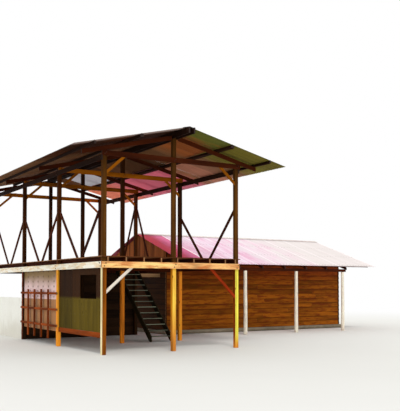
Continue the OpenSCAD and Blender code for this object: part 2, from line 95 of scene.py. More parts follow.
# corrugated sheets: their height with the metal, the part of it that laps and dents need,
# how far one side of a sheet climbs on its neighbour, and how deep the dents are
SHEET_RISE = 0.020
SHEET_PLAY = 0.0045
LAP_CLIMB = 0.002
DENT_DEPTH = 0.0015

# where in a wave its trough and its crest stand
TROUGH = 0.1
CREST = TROUGH + 0.5

# the steps that a sheet is made of: so many to a wave, and the length of one down the slope
WAVE_STEPS = 8
SLOPE_STEP = 0.45

# how much a sheet can be short at its lower end, and how uneven that end is
SHEET_SHORT = 0.012
SHEET_RAGGED = 0.006

# half the lap of two rows of sheets, and how far the upper row's lower end is raised
ROW_LAP = 0.075
ROW_LIFT = 0.0015

# ridge caps: length of one, its lap over the next, its metal, its bend at the ridge, how far
# it stays under the frame's cap, and the steps that it is drawn out in
CAP_LENGTH = 2.4
CAP_LAP = 0.08
CAP_METAL = 0.0012
CAP_BEND = 0.022
CAP_CLEAR = 0.0015
CAP_STEPS = 4

# flat wall sheets: width of one, the joint between two, and how far their edges are eased
PANEL_WIDTH = 1.2
PANEL_JOINT = 0.003
PANEL_EASE = 0.0015

# the wall below the deck: the share of a board that its neighbours cover, and half the gap
# between its two layers
UNDER_LAP = 0.12
UNDER_GAP = 0.001

# how much a deck board can be short at each end
DECK_SHORT = 0.012

# level boards of the cabin: thickness, lap over the board below, half the joint at an end,
# the lengths that they come in, and the shortest that is put in
COURSE_BOARD = 0.018
COURSE_LAP = 0.022
COURSE_JOINT = 0.0015
COURSE_LENGTHS = (2.6, 4.6)
COURSE_SHORTEST = 1.2

# a level board: how high its lower edge reaches, how far the edge and the rest lean in, how
# deep and how high the edge warps, the share of the board below the painted shade that falls
# under the next board's lap, how much lighter that share is, and how much darker that painted
# shade turns the top
BOARD_EDGE = 0.05
EDGE_LEAN = 0.003
BOARD_LEAN = 0.020
WARP_DEPTH = 0.006
WARP_RISE = 0.010
LIT_SHARE = 0.7
LIT_TONE = 0.12
LAP_SHADE_TONE = 1.1

# upright boards of the gables: thickness, gap, how far they cover the level boards, and how
# uneven their faces and their feet are
GABLE_BOARD = 0.025
GABLE_GAP = 0.004
GABLE_COVER = 0.02
GABLE_UNEVEN = 0.006
GABLE_FOOT = 0.015

# depth of the boarding outside the studs, the studs' spacing, and the rails in the gables
LONG_BOARDING = 0.042
GABLE_BOARDING = 0.044
STUD_SPACING = 0.6
GABLE_RAILS = 3
GABLE_RAIL_STEP = 1.2

# how far the thin boards of the cabin are eased, and the steps at which they are bent
THIN_EASE = 0.002
LEVEL_STEP = 0.35
UPRIGHT_STEP = 0.5

# how deep the thin boards, the deck and the railing are worn at most
THIN_WEAR = 0.002
DECK_WEAR = 0.0025
RAILING_WEAR = 0.003

# the concrete base: how far its edges are worn round, and the grid and depth of its unevenness
BASE_EASE = 0.015
BASE_STEP = 0.22
BASE_WEAR = 0.008

# porch poles: shares of the frame's radius at the foot and at the top, shares by which ribs
# and lumps are worn in, and how far a pole bends
POLE_FOOT = 0.97
POLE_TOP = 0.84
RIB_DEPTH = 0.05
LUMP_DEPTH = 0.06
POLE_BEND = 0.0072

# the side railing: its rails, how deep they are let in, and the uprights between them
RAILS = 3
RAIL_LOW = 0.570
RAIL_GAP = 0.485
RAIL_WIDTH = 0.070
RAIL_INSET = 0.004
UPRIGHTS = 4
UPRIGHT_WIDTH = 0.090

# the window in the left wall: its ends along the wall, and its sill and head
WINDOW_ENDS = (0.46, 1.54)
WINDOW_SILL = 1.46
WINDOW_HEAD = 2.09

# nails of the left wall: their spacing along and up it, their distance from a sheet's edge
# and from the window, and how far they stray from their row
NAIL_ALONG = 0.3
NAIL_UP = 0.22
NAIL_MARGIN = 0.03
WINDOW_MARGIN = 0.04
NAIL_STRAY = 0.01

# roofing screws: their depth in a crest, and how far a purlin's middle can be from the
# sheets above it
SCREW_DEPTH = 0.003
PURLIN_REACH = 0.12

# how far the two bolts of a crossing stand from the post's middle line
BOLT_SIDES = (-0.020, 0.022)

# spacing of the rusty marks on the pale side sheet, along and up it
MARK_GRID = (0.48, 0.155)

# heights between which painted shade darkens the posts towards the roof and the cabin's walls under the
# eaves
POST_ROOF_SHADE = (4.2, 5.4)
EAVES_SHADE = (1.8, 2.5)

# the floor: its reach from the middle, and the distances between which it turns white
FLOOR_REACH = 150.0
FADE_START = 11.0
FADE_END = 30.0

# the main lamp: how wide it is, and its tilt and turn
LAMP_WIDTH = math.radians(12)
LAMP_TILT = math.radians(34)
LAMP_TURN = math.radians(-20)

# the photograph's height in pixels, and the camera that was solved from it
IMAGE_HEIGHT = 411
FOCAL_PIXELS = 711.8
HORIZON_CENTRE_PIXEL = 261.6
SENSOR = 36.0
CAMERA_PLACE = Vector((-7.716, -17.082, 1.779))
CAMERA_TURN = 0.559
CAMERA_RISE = 0.035


def centre(node):
    """The middle of a CAD node's box."""
    low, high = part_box(node)
    return (low + high) / 2


# the grid of the posts, half a post's width, and the height at which the posts' colour changes
# from painted sunlight below it to painted roof shade above it
BAY_X = centre("front_middle_post").x - centre("front_left_post").x
BAY_Y = centre("second_row_posts").y - centre("front_left_post").y
POST_X = [i * BAY_X for i in range(3)]
ROW_Y = [i * BAY_Y for i in range(4)]
HALF_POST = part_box("front_left_post")[1].x
SHADE_LINE = centre("front_edge_beam").z


def paint(red, green, blue):
    """A colour written with 0 to 255 as a picture shows it, for a shader."""
    return tuple(
        c / 12.92 if c <= 0.04045 else ((c + 0.055) / 1.055) ** 2.4
        for c in (red / 255, green / 255, blue / 255)
    )


def solid(colour):
    """A colour with its fourth number."""
    return (*tuple(colour)[:3], 1.0)


def tint(colour, factor, towards=(0.0, 0.0, 0.0), share=0.0):
    """A colour made darker or lighter, and moved towards another one by a share."""
    return tuple(
        min(1.0, c * factor) * (1 - share) + t * share for c, t in zip(colour, towards)
    )


class Signal:
    """A number that a node gives out. Arithmetic on it adds Math nodes."""

    def __init__(self, finish, socket):
        self.finish = finish
        self.socket = socket

    def maths(self, operation, first, second):
        values = {0: first, 1: second}
        return self.finish.node("ShaderNodeMath", {"operation": operation}, values)

    def __add__(self, other):
        return self.maths("ADD", self, other)

    __radd__ = __add__

    def __mul__(self, other):
        return self.maths("MULTIPLY", self, other)

    __rmul__ = __mul__

    def __sub__(self, other):
        return self.maths("SUBTRACT", self, other)

    def __rsub__(self, other):
        return self.maths("SUBTRACT", other, self)

    def rise(self, start, end, low=0.0, high=1.0):
        """Goes smoothly from low at start to high at end."""
        return self.finish.node(
            "ShaderNodeMapRange",
            {"interpolation_type": "SMOOTHSTEP"},
            {0: self, 1: start, 2: end, 3: low, 4: high},
        )


class Finish:
    """A material that is being put together from nodes."""

    def __init__(self, name):
        self.material = bpy.data.materials.new(name)
        self.material.use_nodes = True
        self.tree = self.material.node_tree
        self.surface = self.tree.nodes["Principled BSDF"]

    def node(self, kind, settings=None, values=None, output=0):
        """Adds a node: its settings first, then the values or links of its sockets."""
        made = self.tree.nodes.new(kind)
        settings = dict(settings or {})
        for i, (place, colour) in enumerate(settings.pop("stops", ())):
            stops = made.color_ramp.elements
            stop = stops[i] if i < 2 else stops.new(place)
            stop.position = place
            stop.color = solid(colour)
        for key, value in settings.items():
            setattr(made, key, value)
        self.feed(made, values or {})
        return Signal(self, made.outputs[output])

    def feed(self, node, values):
        """Sets or links a node's sockets, named or counted."""
        for key, value in values.items():
            if isinstance(value, Signal):
                self.tree.links.new(value.socket, node.inputs[key])
            else:
                node.inputs[key].default_value = value

    def attribute(self, name, output="Vector"):
        return self.node("ShaderNodeAttribute", {"attribute_name": name}, output=output)

    def place(self):
        """Object coordinates."""
        return self.node("ShaderNodeTexCoord", output="Object")

    def part(self, vector, axis):
        """One number of a vector."""
        return self.node("ShaderNodeSeparateXYZ", values={0: vector}, output=axis)

    def stretched(self, vector, factors):
        return self.node("ShaderNodeVectorMath", {"operation": "MULTIPLY"}, {0: vector, 1: factors})

    def cloud(self, vector, scale=1.0, detail=3.0, roughness=0.5, distortion=0.0):
        """Noise between 0 and 1."""
        values = {
            "Vector": vector,
            "Scale": scale,
            "Detail": detail,
            "Roughness": roughness,
            "Distortion": distortion,
        }
        return self.node("ShaderNodeTexNoise", values=values)

    def spots(self, vector, scale=1.0):
        """Distance to the nearest of many scattered points."""
        return self.node("ShaderNodeTexVoronoi", values={"Vector": vector, "Scale": scale})

    def ramp(self, factor, stops):
        return self.node("ShaderNodeValToRGB", {"stops": stops}, {0: factor})

    def mix(self, first, second, factor):
        """A colour between two colours."""
        values = {0: factor}
        for socket, colour in ((6, first), (7, second)):
            values[socket] = colour if isinstance(colour, Signal) else solid(colour)
        return self.node("ShaderNodeMix", {"data_type": "RGBA"}, values, 2)

    def bump(self, height, strength, distance):
        return self.node(
            "ShaderNodeBump", values={"Height": height, "Strength": strength, "Distance": distance}
        )

    def close(self, **sockets):
        """Feeds the surface shader: base_color becomes Base Color, and so on."""
        self.feed(self.surface, {key.replace("_", " ").title(): v for key, v in sockets.items()})
        return self.material

    def constants(self, specular=0.5, transmission=0.0, ior=1.5):
        """Sets what is the same all over the surface."""
        values = (
            ("Specular IOR Level", specular), ("Transmission Weight", transmission), ("IOR", ior)
        )
        for key, value in values:
            self.surface.inputs[key].default_value = value


def wood(
    name, colour, lower=None, softness=1.0, dust=0.25, worn=None, stains=None, nosing_highlight=None,
    west_light_shade=None, west_end=0.2, zones=(),
):
    """Sawn wood whose blotches, fibres and knots follow each member's own grain.

    lower is the colour below the edge beams: painted sunlight there, against the painted roof
    shade of the colour above them. softness is how slowly light and dark wood pass into each
    other, and dust is how grey the faces turned up are. worn is the bare wood that shows where
    paint has come off, stains the colour of damp patches, and nosing_highlight the painted
    highlight of faces turned to the front.
    west_light_shade is the painted light and shade, below the deck, of faces turned to the
    left, as far right as west_end.
    Each zone gives a colour and the two heights between which the wood turns to it.
    """
    finish = Finish(name)
    finish.constants(specular=0.06)
    grain = finish.attribute("grain")
    tone = finish.attribute("tone", "Fac")
    place = finish.place()
    normal = finish.node("ShaderNodeNewGeometry", output="Normal")
    blotch = finish.cloud(finish.stretched(grain, (0.8, 6.0, 6.0)), detail=4.0)
    fibre = finish.cloud(finish.stretched(grain, (2.5, 85.0, 85.0)), detail=5.0, roughness=0.62)
    hair = finish.cloud(finish.stretched(grain, (9.0, 420.0, 420.0)), detail=3.0)
    shade = blotch * 0.75 + fibre * 0.45 + (tone - 0.5) * 0.40 - 0.1
    spread = 0.22 * softness

    def stained(base):
        stops = [
            (0.5 - spread, tint(base, 0.42)),
            (0.5, base),
            (0.5 + spread, tint(base, 1.55)),
        ]
        return finish.ramp(shade, stops)

    base = stained(colour)
    # painted light: below the edge beams the lower colour stands for sunlight, above them the colour
    # stands for the roof's shade
    above = (finish.part(place, 2) + (blotch - 0.5) * 0.1).rise(SHADE_LINE - 0.04, SHADE_LINE + 0.04)
    if lower:
        base = finish.mix(stained(lower), base, above)
    # painted light and shade on the faces turned to the left below the deck
    if west_light_shade:
        turned_left = finish.part(normal, 0).rise(-0.5, -0.8)
        near = finish.part(place, 0).rise(west_end, west_end - 0.2)
        base = finish.mix(base, stained(west_light_shade), turned_left * near * (1.0 - above))
    for turned, start, end in zones:
        reach = (finish.part(place, 2) + (blotch - 0.5) * 0.1).rise(start, end)
        base = finish.mix(base, stained(turned), reach)
    if worn:
        bare = (fibre * 0.6 + blotch * 0.6 + (tone - 0.5) * 0.1).rise(0.60, 0.72)
        base = finish.mix(base, stained(worn), bare)
    if stains:
        drop = finish.cloud(finish.stretched(grain, (2.4, 13.0, 13.0)), detail=5.0, roughness=0.65)
        base = finish.mix(base, stains, (drop * 0.8 + fibre * 0.3).rise(0.52, 0.68) * 0.85)
    # painted highlight on the faces turned to the front
    if nosing_highlight:
        base = finish.mix(base, stained(nosing_highlight), finish.part(normal, 1).rise(-0.5, -0.8))
    knots = finish.spots(finish.stretched(grain, (2.6, 8.0, 8.0)))
    few = finish.cloud(grain, scale=1.3, detail=1.0).rise(0.5, 0.6)
    knot = knots.rise(0.07, 0.13, 1.0, 0.0) * few
    base = finish.mix(base, tint(colour, 0.25), knot * 0.8)
    upward = finish.part(normal, 2).rise(0.5, 0.9)
    grime = upward * finish.cloud(place, scale=2.5, detail=4.0).rise(0.35, 0.7)
    base = finish.mix(base, paint(150, 136, 120), grime * dust)
    height = fibre * 0.6 + hair * 0.25 + blotch * 0.3 - knot * 0.2
    return finish.close(
        base_color=base,
        roughness=fibre * 0.25 + 0.62,
        normal=finish.bump(height, 0.55, 0.004),
    )


def end_wood(name, colour):
    """Sawn end of a member, with rings round a heart and short cracks."""
    finish = Finish(name)
    grain = finish.attribute("grain")
    tone = finish.attribute("tone", "Fac")
    across = finish.stretched(grain, (0.0, 1.0, 1.0))
    wander = finish.cloud(across, scale=9.0, detail=2.0)
    rings = finish.node(
        "ShaderNodeTexWave",
        {"wave_type": "RINGS", "rings_direction": "X"},
        {"Vector": across, "Scale": 28.0, "Distortion": 3.0, "Detail": 2.0},
        output="Fac",
    )
    shade = rings * 0.45 + wander * 0.5 + (tone - 0.5) * 0.4
    base = finish.ramp(shade, [(0.2, tint(colour, 0.5)), (0.6, colour), (0.9, tint(colour, 1.4))])
    cracks = finish.spots(across, 30.0).rise(0.0, 0.12, 1.0, 0.0)
    base = finish.mix(base, tint(colour, 0.2), cracks * 0.6)
    return finish.close(
        base_color=base,
        roughness=wander * 0.1 + 0.8,
        normal=finish.bump(rings * 0.5 + wander, 0.4, 0.003),
    )


def sheeting(
    name, colour, other, rust=0.3, gloss=0.45, zones=(), metallic=0.0, laps=0.8, specular=0.3,
    bands=1.0, clear=0.0, dirt=1.0,
):
    """Painted corrugated sheet: patches, runs down the slope, rust and lighter laps.

    The attribute grain holds the way down the slope, along the ridge, and the sheet's number.
    rust is how much of it shows, gloss the least roughness, and laps how light the laps are.
    Each zone gives a colour, an axis, the two places on it between which the paint turns to
    that colour, and how far that border wanders. bands is how much the sheets differ from
    each other, clear is the share of light that they let through, and dirt is how strong the
    dark runs are.
    """
    finish = Finish(name)
    finish.constants(specular=specular, transmission=clear, ior=1.3)
    grain = finish.attribute("grain")
    tone = finish.attribute("tone", "Fac")
    lap = finish.attribute("lap", "Fac")
    patch = finish.cloud(finish.stretched(grain, (0.7, 1.4, 1.0)), detail=4.0, distortion=0.3)
    run = finish.cloud(finish.stretched(grain, (0.55, 26.0, 1.0)), detail=4.0, roughness=0.6)
    speck = finish.cloud(finish.stretched(grain, (40.0, 40.0, 1.0)), detail=4.0, roughness=0.7)
    shade = (patch * 0.7 + run * 0.55 + (tone - 0.5) * 0.6 * bands - 0.12).rise(0.25, 0.75)
    base = finish.mix(other, colour, shade)
    for turned, axis, start, end, wander in zones:
        shift = ((patch - 0.5) * 1.6 + (run - 0.5) * 1.2) * wander
        reach = (finish.part(finish.place(), axis) + shift).rise(start, end)
        base = finish.mix(base, turned, reach)
    streak = (run * 0.8 + (tone - 0.5) * 0.3 * bands).rise(0.34, 0.62)
    base = finish.mix(base, (0.0, 0.0, 0.0), (1.0 - streak) * (0.3 * dirt))
    rusty = (patch * 0.45 + speck * 0.6 + run * 0.35).rise(0.74, 0.86) * rust
    base = finish.mix(base, paint(112, 62, 34), rusty)
    base = finish.mix(base, tint(other, 0.5), run.rise(0.58, 0.75) * (0.35 * dirt))
    base = finish.mix(base, tint(colour, 1.0, (1.0, 0.95, 0.92), 0.6), lap * laps)
    return finish.close(
        base_color=base,
        metallic=metallic,
        roughness=speck * 0.25 + gloss,
        normal=finish.bump(speck * 0.3 + patch * 0.4, 0.25, 0.003),
    )


def flat_sheet(name, colour, stain, marks=None, damp_top=None):
    """A flat painted wall sheet with stains that run down from its top.

    marks are the distances along Y and Z of rusty nail marks, and damp_top is the height from
    which a brown stain has spread down.
    """
    finish = Finish(name)
    finish.constants(specular=0.15)
    place = finish.place()
    patch = finish.cloud(place, scale=1.6, detail=5.0)
    run = finish.cloud(finish.stretched(place, (14.0, 14.0, 0.8)), detail=4.0)
    speck = finish.cloud(place, scale=60.0, detail=3.0)
    height = finish.part(place, 2)
    damp = height.rise(0.0, 0.9, 0.35, 0.0)
    shade = (patch * 0.6 + run * 0.6 + damp - 0.1).rise(0.45, 0.85)
    base = finish.mix(colour, stain, shade * 0.5)
    base = finish.mix(base, tint(stain, 0.6), speck.rise(0.62, 0.75) * 0.3)
    if damp_top:
        spread = (height + (patch - 0.5) * 0.3).rise(damp_top - 0.5, damp_top)
        base = finish.mix(base, paint(126, 98, 40), spread * 0.95)
    if marks:
        cells = finish.stretched(place, (0.0, 1 / marks[0], 1 / marks[1]))
        inside = finish.node("ShaderNodeVectorMath", {"operation": "FRACTION"}, {0: cells})
        scaled = finish.stretched(inside, (0.0, marks[0], marks[1]))
        middle = (0.0, marks[0] / 2, marks[1] / 2)
        settings = {"operation": "DISTANCE"}
        far = finish.node("ShaderNodeVectorMath", settings, {0: scaled, 1: middle}, "Value")
        base = finish.mix(base, paint(84, 54, 40), far.rise(0.022, 0.046, 0.85, 0.0))
    return finish.close(
        base_color=base,
        roughness=patch * 0.2 + 0.5,
        normal=finish.bump(patch + speck * 0.2, 0.3, 0.004),
    )


def clear_sheet(name, colour):
    """Milky translucent sheet, dusty in its troughs."""
    finish = Finish(name)
    grain = finish.attribute("grain")
    dust = finish.cloud(finish.stretched(grain, (0.8, 9.0, 1.0)), detail=5.0)
    base = finish.mix(colour, paint(150, 140, 118), dust.rise(0.45, 0.8) * 0.6)
    finish.constants(transmission=0.7, ior=1.3)
    return finish.close(base_color=base, roughness=dust * 0.3 + 0.25)


def concrete(name, colour):
    """Rough cast concrete, stained darker at the ground."""
    finish = Finish(name)
    place = finish.place()
    patch = finish.cloud(place, scale=1.8, detail=6.0, roughness=0.6)
    grit = finish.cloud(place, scale=70.0, detail=4.0, roughness=0.65)
    holes = finish.spots(place, 34.0).rise(0.05, 0.14, 1.0, 0.0)
    shade = (patch * 0.8 + grit * 0.35 - 0.05).rise(0.3, 0.8)
    base = finish.mix(tint(colour, 0.55), tint(colour, 1.15), shade)
    foot = finish.part(place, 2) + (patch - 0.5) * 0.12
    base = finish.mix(base, paint(92, 80, 60), foot.rise(0.0, 0.11, 0.75, 0.0))
    base = finish.mix(base, tint(colour, 0.3), holes * 0.5)
    return finish.close(
        base_color=base,
        roughness=grit * 0.15 + 0.8,
        normal=finish.bump(grit * 0.5 + patch * 0.6 - holes * 0.4, 0.6, 0.006),
    )


def pole_wood(name, colour):
    """Barked pole, silver grey, with long cracks and lichen."""
    finish = Finish(name)
    grain = finish.attribute("grain")
    bark = finish.cloud(finish.stretched(grain, (2.0, 26.0, 26.0)), detail=5.0, roughness=0.6)
    patch = finish.cloud(finish.place(), scale=5.0, detail=4.0)
    crack = finish.cloud(finish.stretched(grain, (1.2, 60.0, 60.0)), detail=2.0).rise(0.62, 0.68)
    shade = (bark * 0.6 + patch * 0.6 - 0.1).rise(0.25, 0.75)
    base = finish.mix(tint(colour, 0.78), tint(colour, 1.12), shade)
    base = finish.mix(base, tint(colour, 0.22), crack * 0.7)
    base = finish.mix(base, paint(176, 174, 138), patch.rise(0.62, 0.72) * 0.5)
    return finish.close(
        base_color=base,
        roughness=bark * 0.2 + 0.7,
        normal=finish.bump(bark * 0.6 - crack * 0.5, 0.5, 0.005),
    )


def steel(name, colour, shine=0.75):
    """Zinc coated steel, dulled and flecked with rust."""
    finish = Finish(name)
    place = finish.place()
    finish.constants(specular=0.2)
    fleck = finish.cloud(place, scale=90.0, detail=3.0)
    base = finish.mix(colour, paint(120, 66, 36), fleck.rise(0.52, 0.66) * 0.8)
    return finish.close(
        base_color=base,
        metallic=fleck.rise(0.5, 0.66, shine, 0.0),
        roughness=fleck * 0.4 + 0.3,
    )


def stored(part, name):
    """Writes a working mesh into the file's data under a name, and frees it."""
    mesh = bpy.data.meshes.new(name)
    part.to_mesh(mesh)
    part.free()
    return mesh


def placed(name, data):
    """Puts a new object in the scene, at the origin."""
    thing = bpy.data.objects.new(name, data)
    bpy.context.scene.collection.objects.link(thing)
    return thing


def frame_copy(node):
    """A copy of a CAD node's mesh, merged, with its flat faces whole."""
    part = bmesh.new()
    part.from_mesh(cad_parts[node].data)
    bmesh.ops.remove_doubles(part, verts=part.verts, dist=0.0002)
    bmesh.ops.dissolve_limit(
        part, angle_limit=math.radians(1), verts=part.verts, edges=part.edges
    )
    return part


def separated(whole):
    """The pieces of a mesh that don't touch, each a mesh of its own. The whole is freed."""
    whole.verts.index_update()
    seen = set()
    pieces = []
    for start in whole.verts:
        if start.index in seen:
            continue
        island = {start.index}
        reach = [start]
        while reach:
            for edge in reach.pop().link_edges:
                for vert in edge.verts:
                    if vert.index not in island:
                        island.add(vert.index)
                        reach.append(vert)
        seen |= island
        piece = whole.copy()
        piece.verts.ensure_lookup_table()
        others = [v for v in piece.verts if v.index not in island]
        bmesh.ops.delete(piece, geom=others, context="VERTS")
        pieces.append(piece)
    whole.free()
    return pieces


def extent(part):
    """The lowest and the highest corner of a mesh."""
    low = Vector([min(v.co[i] for v in part.verts) for i in range(3)])
    high = Vector([max(v.co[i] for v in part.verts) for i in range(3)])
    return low, high


def longest_way(part):
    """The direction of a member's longest edge, in which its grain runs."""
    longest = max(part.edges, key=lambda e: (round(e.calc_length(), 4), -e.index))
    return (longest.verts[1].co - longest.verts[0].co).normalized()


def block(low, high):
    """A sawn block between two corners."""
    part = bmesh.new()
    size = Vector(high) - Vector(low)
    middle = (Vector(high) + Vector(low)) / 2
    bmesh.ops.create_cube(
        part, size=1.0, matrix=Matrix.Translation(middle) @ Matrix.Diagonal((*size, 1.0))
    )
    return part


def thicken(part, metal):
    """Gives an open sheet its thickness, below its top face, with its faces outwards."""
    bmesh.ops.recalc_face_normals(part, faces=part.faces)
    if sum(f.normal.z * f.calc_area() for f in part.faces) < 0:
        bmesh.ops.reverse_faces(part, faces=part.faces)
    bmesh.ops.solidify(part, geom=part.faces, thickness=metal)
    if part.calc_volume(signed=True) < 0:
        bmesh.ops.reverse_faces(part, faces=part.faces)
    part.normal_update()


def ease_edges(part, width, segments=2):
    """Rounds the sharp edges of a member."""
    part.normal_update()
    sharp = [e for e in part.edges if e.is_manifold and e.calc_face_angle() > SHARP_EDGE]
    bmesh.ops.bevel(
        part,
        geom=sharp,
        offset=width,
        offset_type="OFFSET",
        segments=segments,
        profile=0.5,
        affect="EDGES",
        material=-1,
        clamp_overlap=True,
    )


def cross_cut(part, along, spacing):
    """Adds rings of edges across a member, so that it can be bent."""
    places = [v.co.dot(along) for v in part.verts]
    length = max(places) - min(places)
    count = max(1, round(length / spacing))
    for i in range(1, count):
        bmesh.ops.bisect_plane(
            part,
            geom=part.verts[:] + part.edges[:] + part.faces[:],
            plane_co=along * (min(places) + length * i / count),
            plane_no=along,
        )


def weather(part, depth, size=1.3):
    """Wears a member unevenly, always inwards."""
    part.normal_update()
    moves = []
    for vert in part.verts:
        slow = abs(noise.noise(vert.co * size))
        quick = abs(noise.noise(vert.co * size * 7.0 + Vector((31.0, 7.0, 3.0))))
        moves.append(vert.normal * (-depth * (1.1 * slow + 0.5 * quick)))
    for vert, move in zip(part.verts, moves):
        vert.co += move


def strip(part, along, start, end):
    """The part of a closed solid between two planes, cut off square and closed again."""
    piece = part.copy()
    for place, side in ((start, -1.0), (end, 1.0)):
        cut = bmesh.ops.bisect_plane(
            piece,
            geom=piece.verts[:] + piece.edges[:] + piece.faces[:],
            plane_co=along * place,
            plane_no=along * side,
            clear_outer=True,
        )
        rim = [e for e in cut["geom_cut"] if isinstance(e, bmesh.types.BMEdge)]
        if rim:
            bmesh.ops.holes_fill(piece, edges=rim, sides=0)
    return piece


def boards(solid_part, along, width, gap, rng, spread=0.0):
    """Saws a slab into boards side by side. Widths vary by the share spread."""
    places = [v.co.dot(along) for v in solid_part.verts]
    low, high = min(places), max(places)
    count = max(1, round((high - low) / width))
    cuts = [low + (high - low) * i / count for i in range(count + 1)]
    for i in range(1, count):
        cuts[i] += width * rng.uniform(-spread, spread)
    pieces = []
    for start, end in zip(cuts, cuts[1:]):
        piece = strip(solid_part, along, start + gap / 2, end - gap / 2)
        if piece.faces:
            pieces += separated(piece)
    return pieces


class Stack:
    """One mesh that is built up from members, each with its own grain and tone."""

    def __init__(self, seed):
        self.mesh = bmesh.new()
        self.rng = random.Random(seed)

    def add(self, part, along, tone=None, material=0, ends=None, shading=None):
        """Adds a member whose grain runs along a direction, and frees it.

        shading gives what is added to the tone at a place.
        """
        along = Vector(along).normalized()
        other = EAST if abs(along.z) > 0.7 else UP
        side = along.cross(other).normalized()
        rise = along.cross(side).normalized()
        shift = Vector([self.rng.uniform(0.0, 40.0) for _ in range(3)])
        tone = self.rng.random() if tone is None else tone
        grain = part.verts.layers.float_vector.new("grain")
        shade = part.verts.layers.float.new("tone")
        for vert in part.verts:
            spot = Vector((vert.co.dot(along), vert.co.dot(side), vert.co.dot(rise)))
            vert[grain] = spot + shift
            vert[shade] = tone + (shading(vert.co) if shading else 0.0)
        part.normal_update()
        for face in part.faces:
            across = abs(face.normal.dot(along)) > END_FACING
            face.material_index = ends if ends is not None and across else material
        self.take(part)

    def take(self, part):
        """Adds a mesh as it is, and frees it."""
        store = stored(part, "part")
        self.mesh.from_mesh(store)
        bpy.data.meshes.remove(store)

    def repeat(self, pattern, matrices):
        """Adds a copy of a small mesh at each matrix, and frees it."""
        store = stored(pattern, "pattern")
        for matrix in matrices:
            copy = store.copy()
            copy.transform(matrix)
            self.mesh.from_mesh(copy)
            bpy.data.meshes.remove(copy)
        bpy.data.meshes.remove(store)

    def finish(self, name, slot, materials, nodes=()):
        """Makes the object, which rides on the house and stands for the CAD nodes."""
        mesh = stored(self.mesh, name)
        for material in materials:
            mesh.materials.append(material)
        piece = placed(name, mesh)
        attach(piece, BODY)
        if nodes:
            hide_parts(*nodes)
        return piece


def sawn_member(stack, part, along, sizes, depth=None, tone=None, material=0):
    """Eases, bends and wears one sawn member and adds it to a stack."""
    ease_edges(part, sizes.arris * stack.rng.uniform(0.6, 1.3))
    cross_cut(part, along, BEND_STEP)
    weather(part, sizes.wear if depth is None else depth)
    stack.add(part, along, tone=tone, material=material, ends=1)


def dress_timber(node, slot, finish, ends, sizes, shaded=None):
    """Replaces a CAD node of sawn members by worn ones of the same size.

    shaded is the finish of the members on the right side, where it is another one: painted
    shade on that side.
    """
    stack = Stack(node)
    members = separated(frame_copy(node))
    middle = centre(node).x
    for part in members:
        tone = 0.5 if len(members) == 1 else stack.rng.uniform(0.15, 0.85)
        on_shaded_side = shaded is not None and extent(part)[0].x > middle
        sawn_member(
            stack, part, longest_way(part), sizes, tone=tone, material=2 if on_shaded_side else 0
        )
    finishes = [finish, ends] if shaded is None else [finish, ends, shaded]
    return stack.finish(node + "_sawn", slot, finishes, [node])


def square_to(way):
    """The level direction, east or north, at a right angle to a level way."""
    return NORTH if abs(way.x) > 0.5 else EAST


def slope_matrix(low, high, outward, pitch):
    """Turns (down the slope, along the ridge, out of it) into the house's frame.

    low and high are the box of sheeting on the slope, and outward is the level way down.
    """
    down = outward * math.cos(pitch) - UP * math.sin(pitch)
    out = outward * math.sin(pitch) + UP * math.cos(pitch)
    ridge = square_to(outward)
    corner = Vector((low.x, low.y, high.z - SHEET_RISE * math.cos(pitch)))
    if outward.x < -0.5:
        corner.x = high.x
    if outward.y < -0.5:
        corner.y = high.y
    rows = [[down[i], ridge[i], out[i], corner[i]] for i in range(3)]
    return Matrix((*rows, (0.0, 0.0, 0.0, 1.0)))


def slope_length(low, high, outward, pitch):
    """Length of the sheeting down its slope."""
    level = abs((high - low).dot(outward))
    return (level - SHEET_RISE * math.sin(pitch)) / math.cos(pitch)


def sheet_field(field, outward, pitch, sizes):
    """The matrix, the length and the count of waves of a CAD field of sheets, which is freed."""
    low, high = extent(field)
    field.free()
    waves = round((high - low).dot(square_to(outward)) / sizes.corrugation)
    box = (low, high, outward, pitch)
    return slope_matrix(*box), slope_length(*box), waves


def corrugated_sheet(start, count, length, lap, lift, sizes, rng, number):
    """One sheet on a slope: X down it, Y along the ridge, Z out of it.

    count is the waves that show, and lap those that the next sheet covers. lift is how far its
    lower end is raised, so that it lies on the row below. number is its place on the slope.
    """
    pitch = sizes.corrugation
    width = (count + lap) * pitch
    part = bmesh.new()
    bmesh.ops.create_grid(
        part, x_segments=max(6, round(length / SLOPE_STEP)),
        y_segments=(count + lap) * WAVE_STEPS, size=0.5,
    )
    bmesh.ops.scale(part, vec=(length, width, 1.0), verts=part.verts)
    bmesh.ops.translate(part, vec=(length / 2, start + width / 2, 0.0), verts=part.verts)
    swing = SHEET_RISE - sizes.metal - SHEET_PLAY
    short = rng.uniform(0.0, SHEET_SHORT)
    phase = rng.uniform(0.0, 50.0)
    for vert in part.verts:
        x, y, _ = vert.co
        share = x / length
        wave = swing * (0.5 - 0.5 * math.cos(2 * math.pi * (y / pitch - TROUGH)))
        climb = LAP_CLIMB * (y - start) / width + lift * share
        dent = DENT_DEPTH * abs(noise.noise(Vector((x * 1.1, y * 1.7, phase))))
        dent *= math.sin(math.pi * min(1.0, share))
        ragged = short + SHEET_RAGGED * abs(noise.noise(Vector((0.0, y * 3.0, phase))))
        vert.co = Vector((x - share * ragged, y, wave + climb + dent))
    thicken(part, sizes.metal)
    grain = part.verts.layers.float_vector.new("grain")
    shade = part.verts.layers.float.new("tone")
    edge = part.verts.layers.float.new("lap")
    tone = rng.random()
    mark = rng.uniform(0.1, 0.6) if number else 1.0
    for vert in part.verts:
        vert[grain] = (vert.co.x, vert.co.y + 3.1 * number, 7.3 * number)
        vert[shade] = tone
        vert[edge] = mark if start + width - vert.co.y < sizes.lap_line else 0.0
    for face in part.faces:
        face.smooth = True
        face.material_index = 0 if face.normal.z > 0 else 1
        if abs(face.normal.z) < 0.2:
            face.smooth = False
    return part


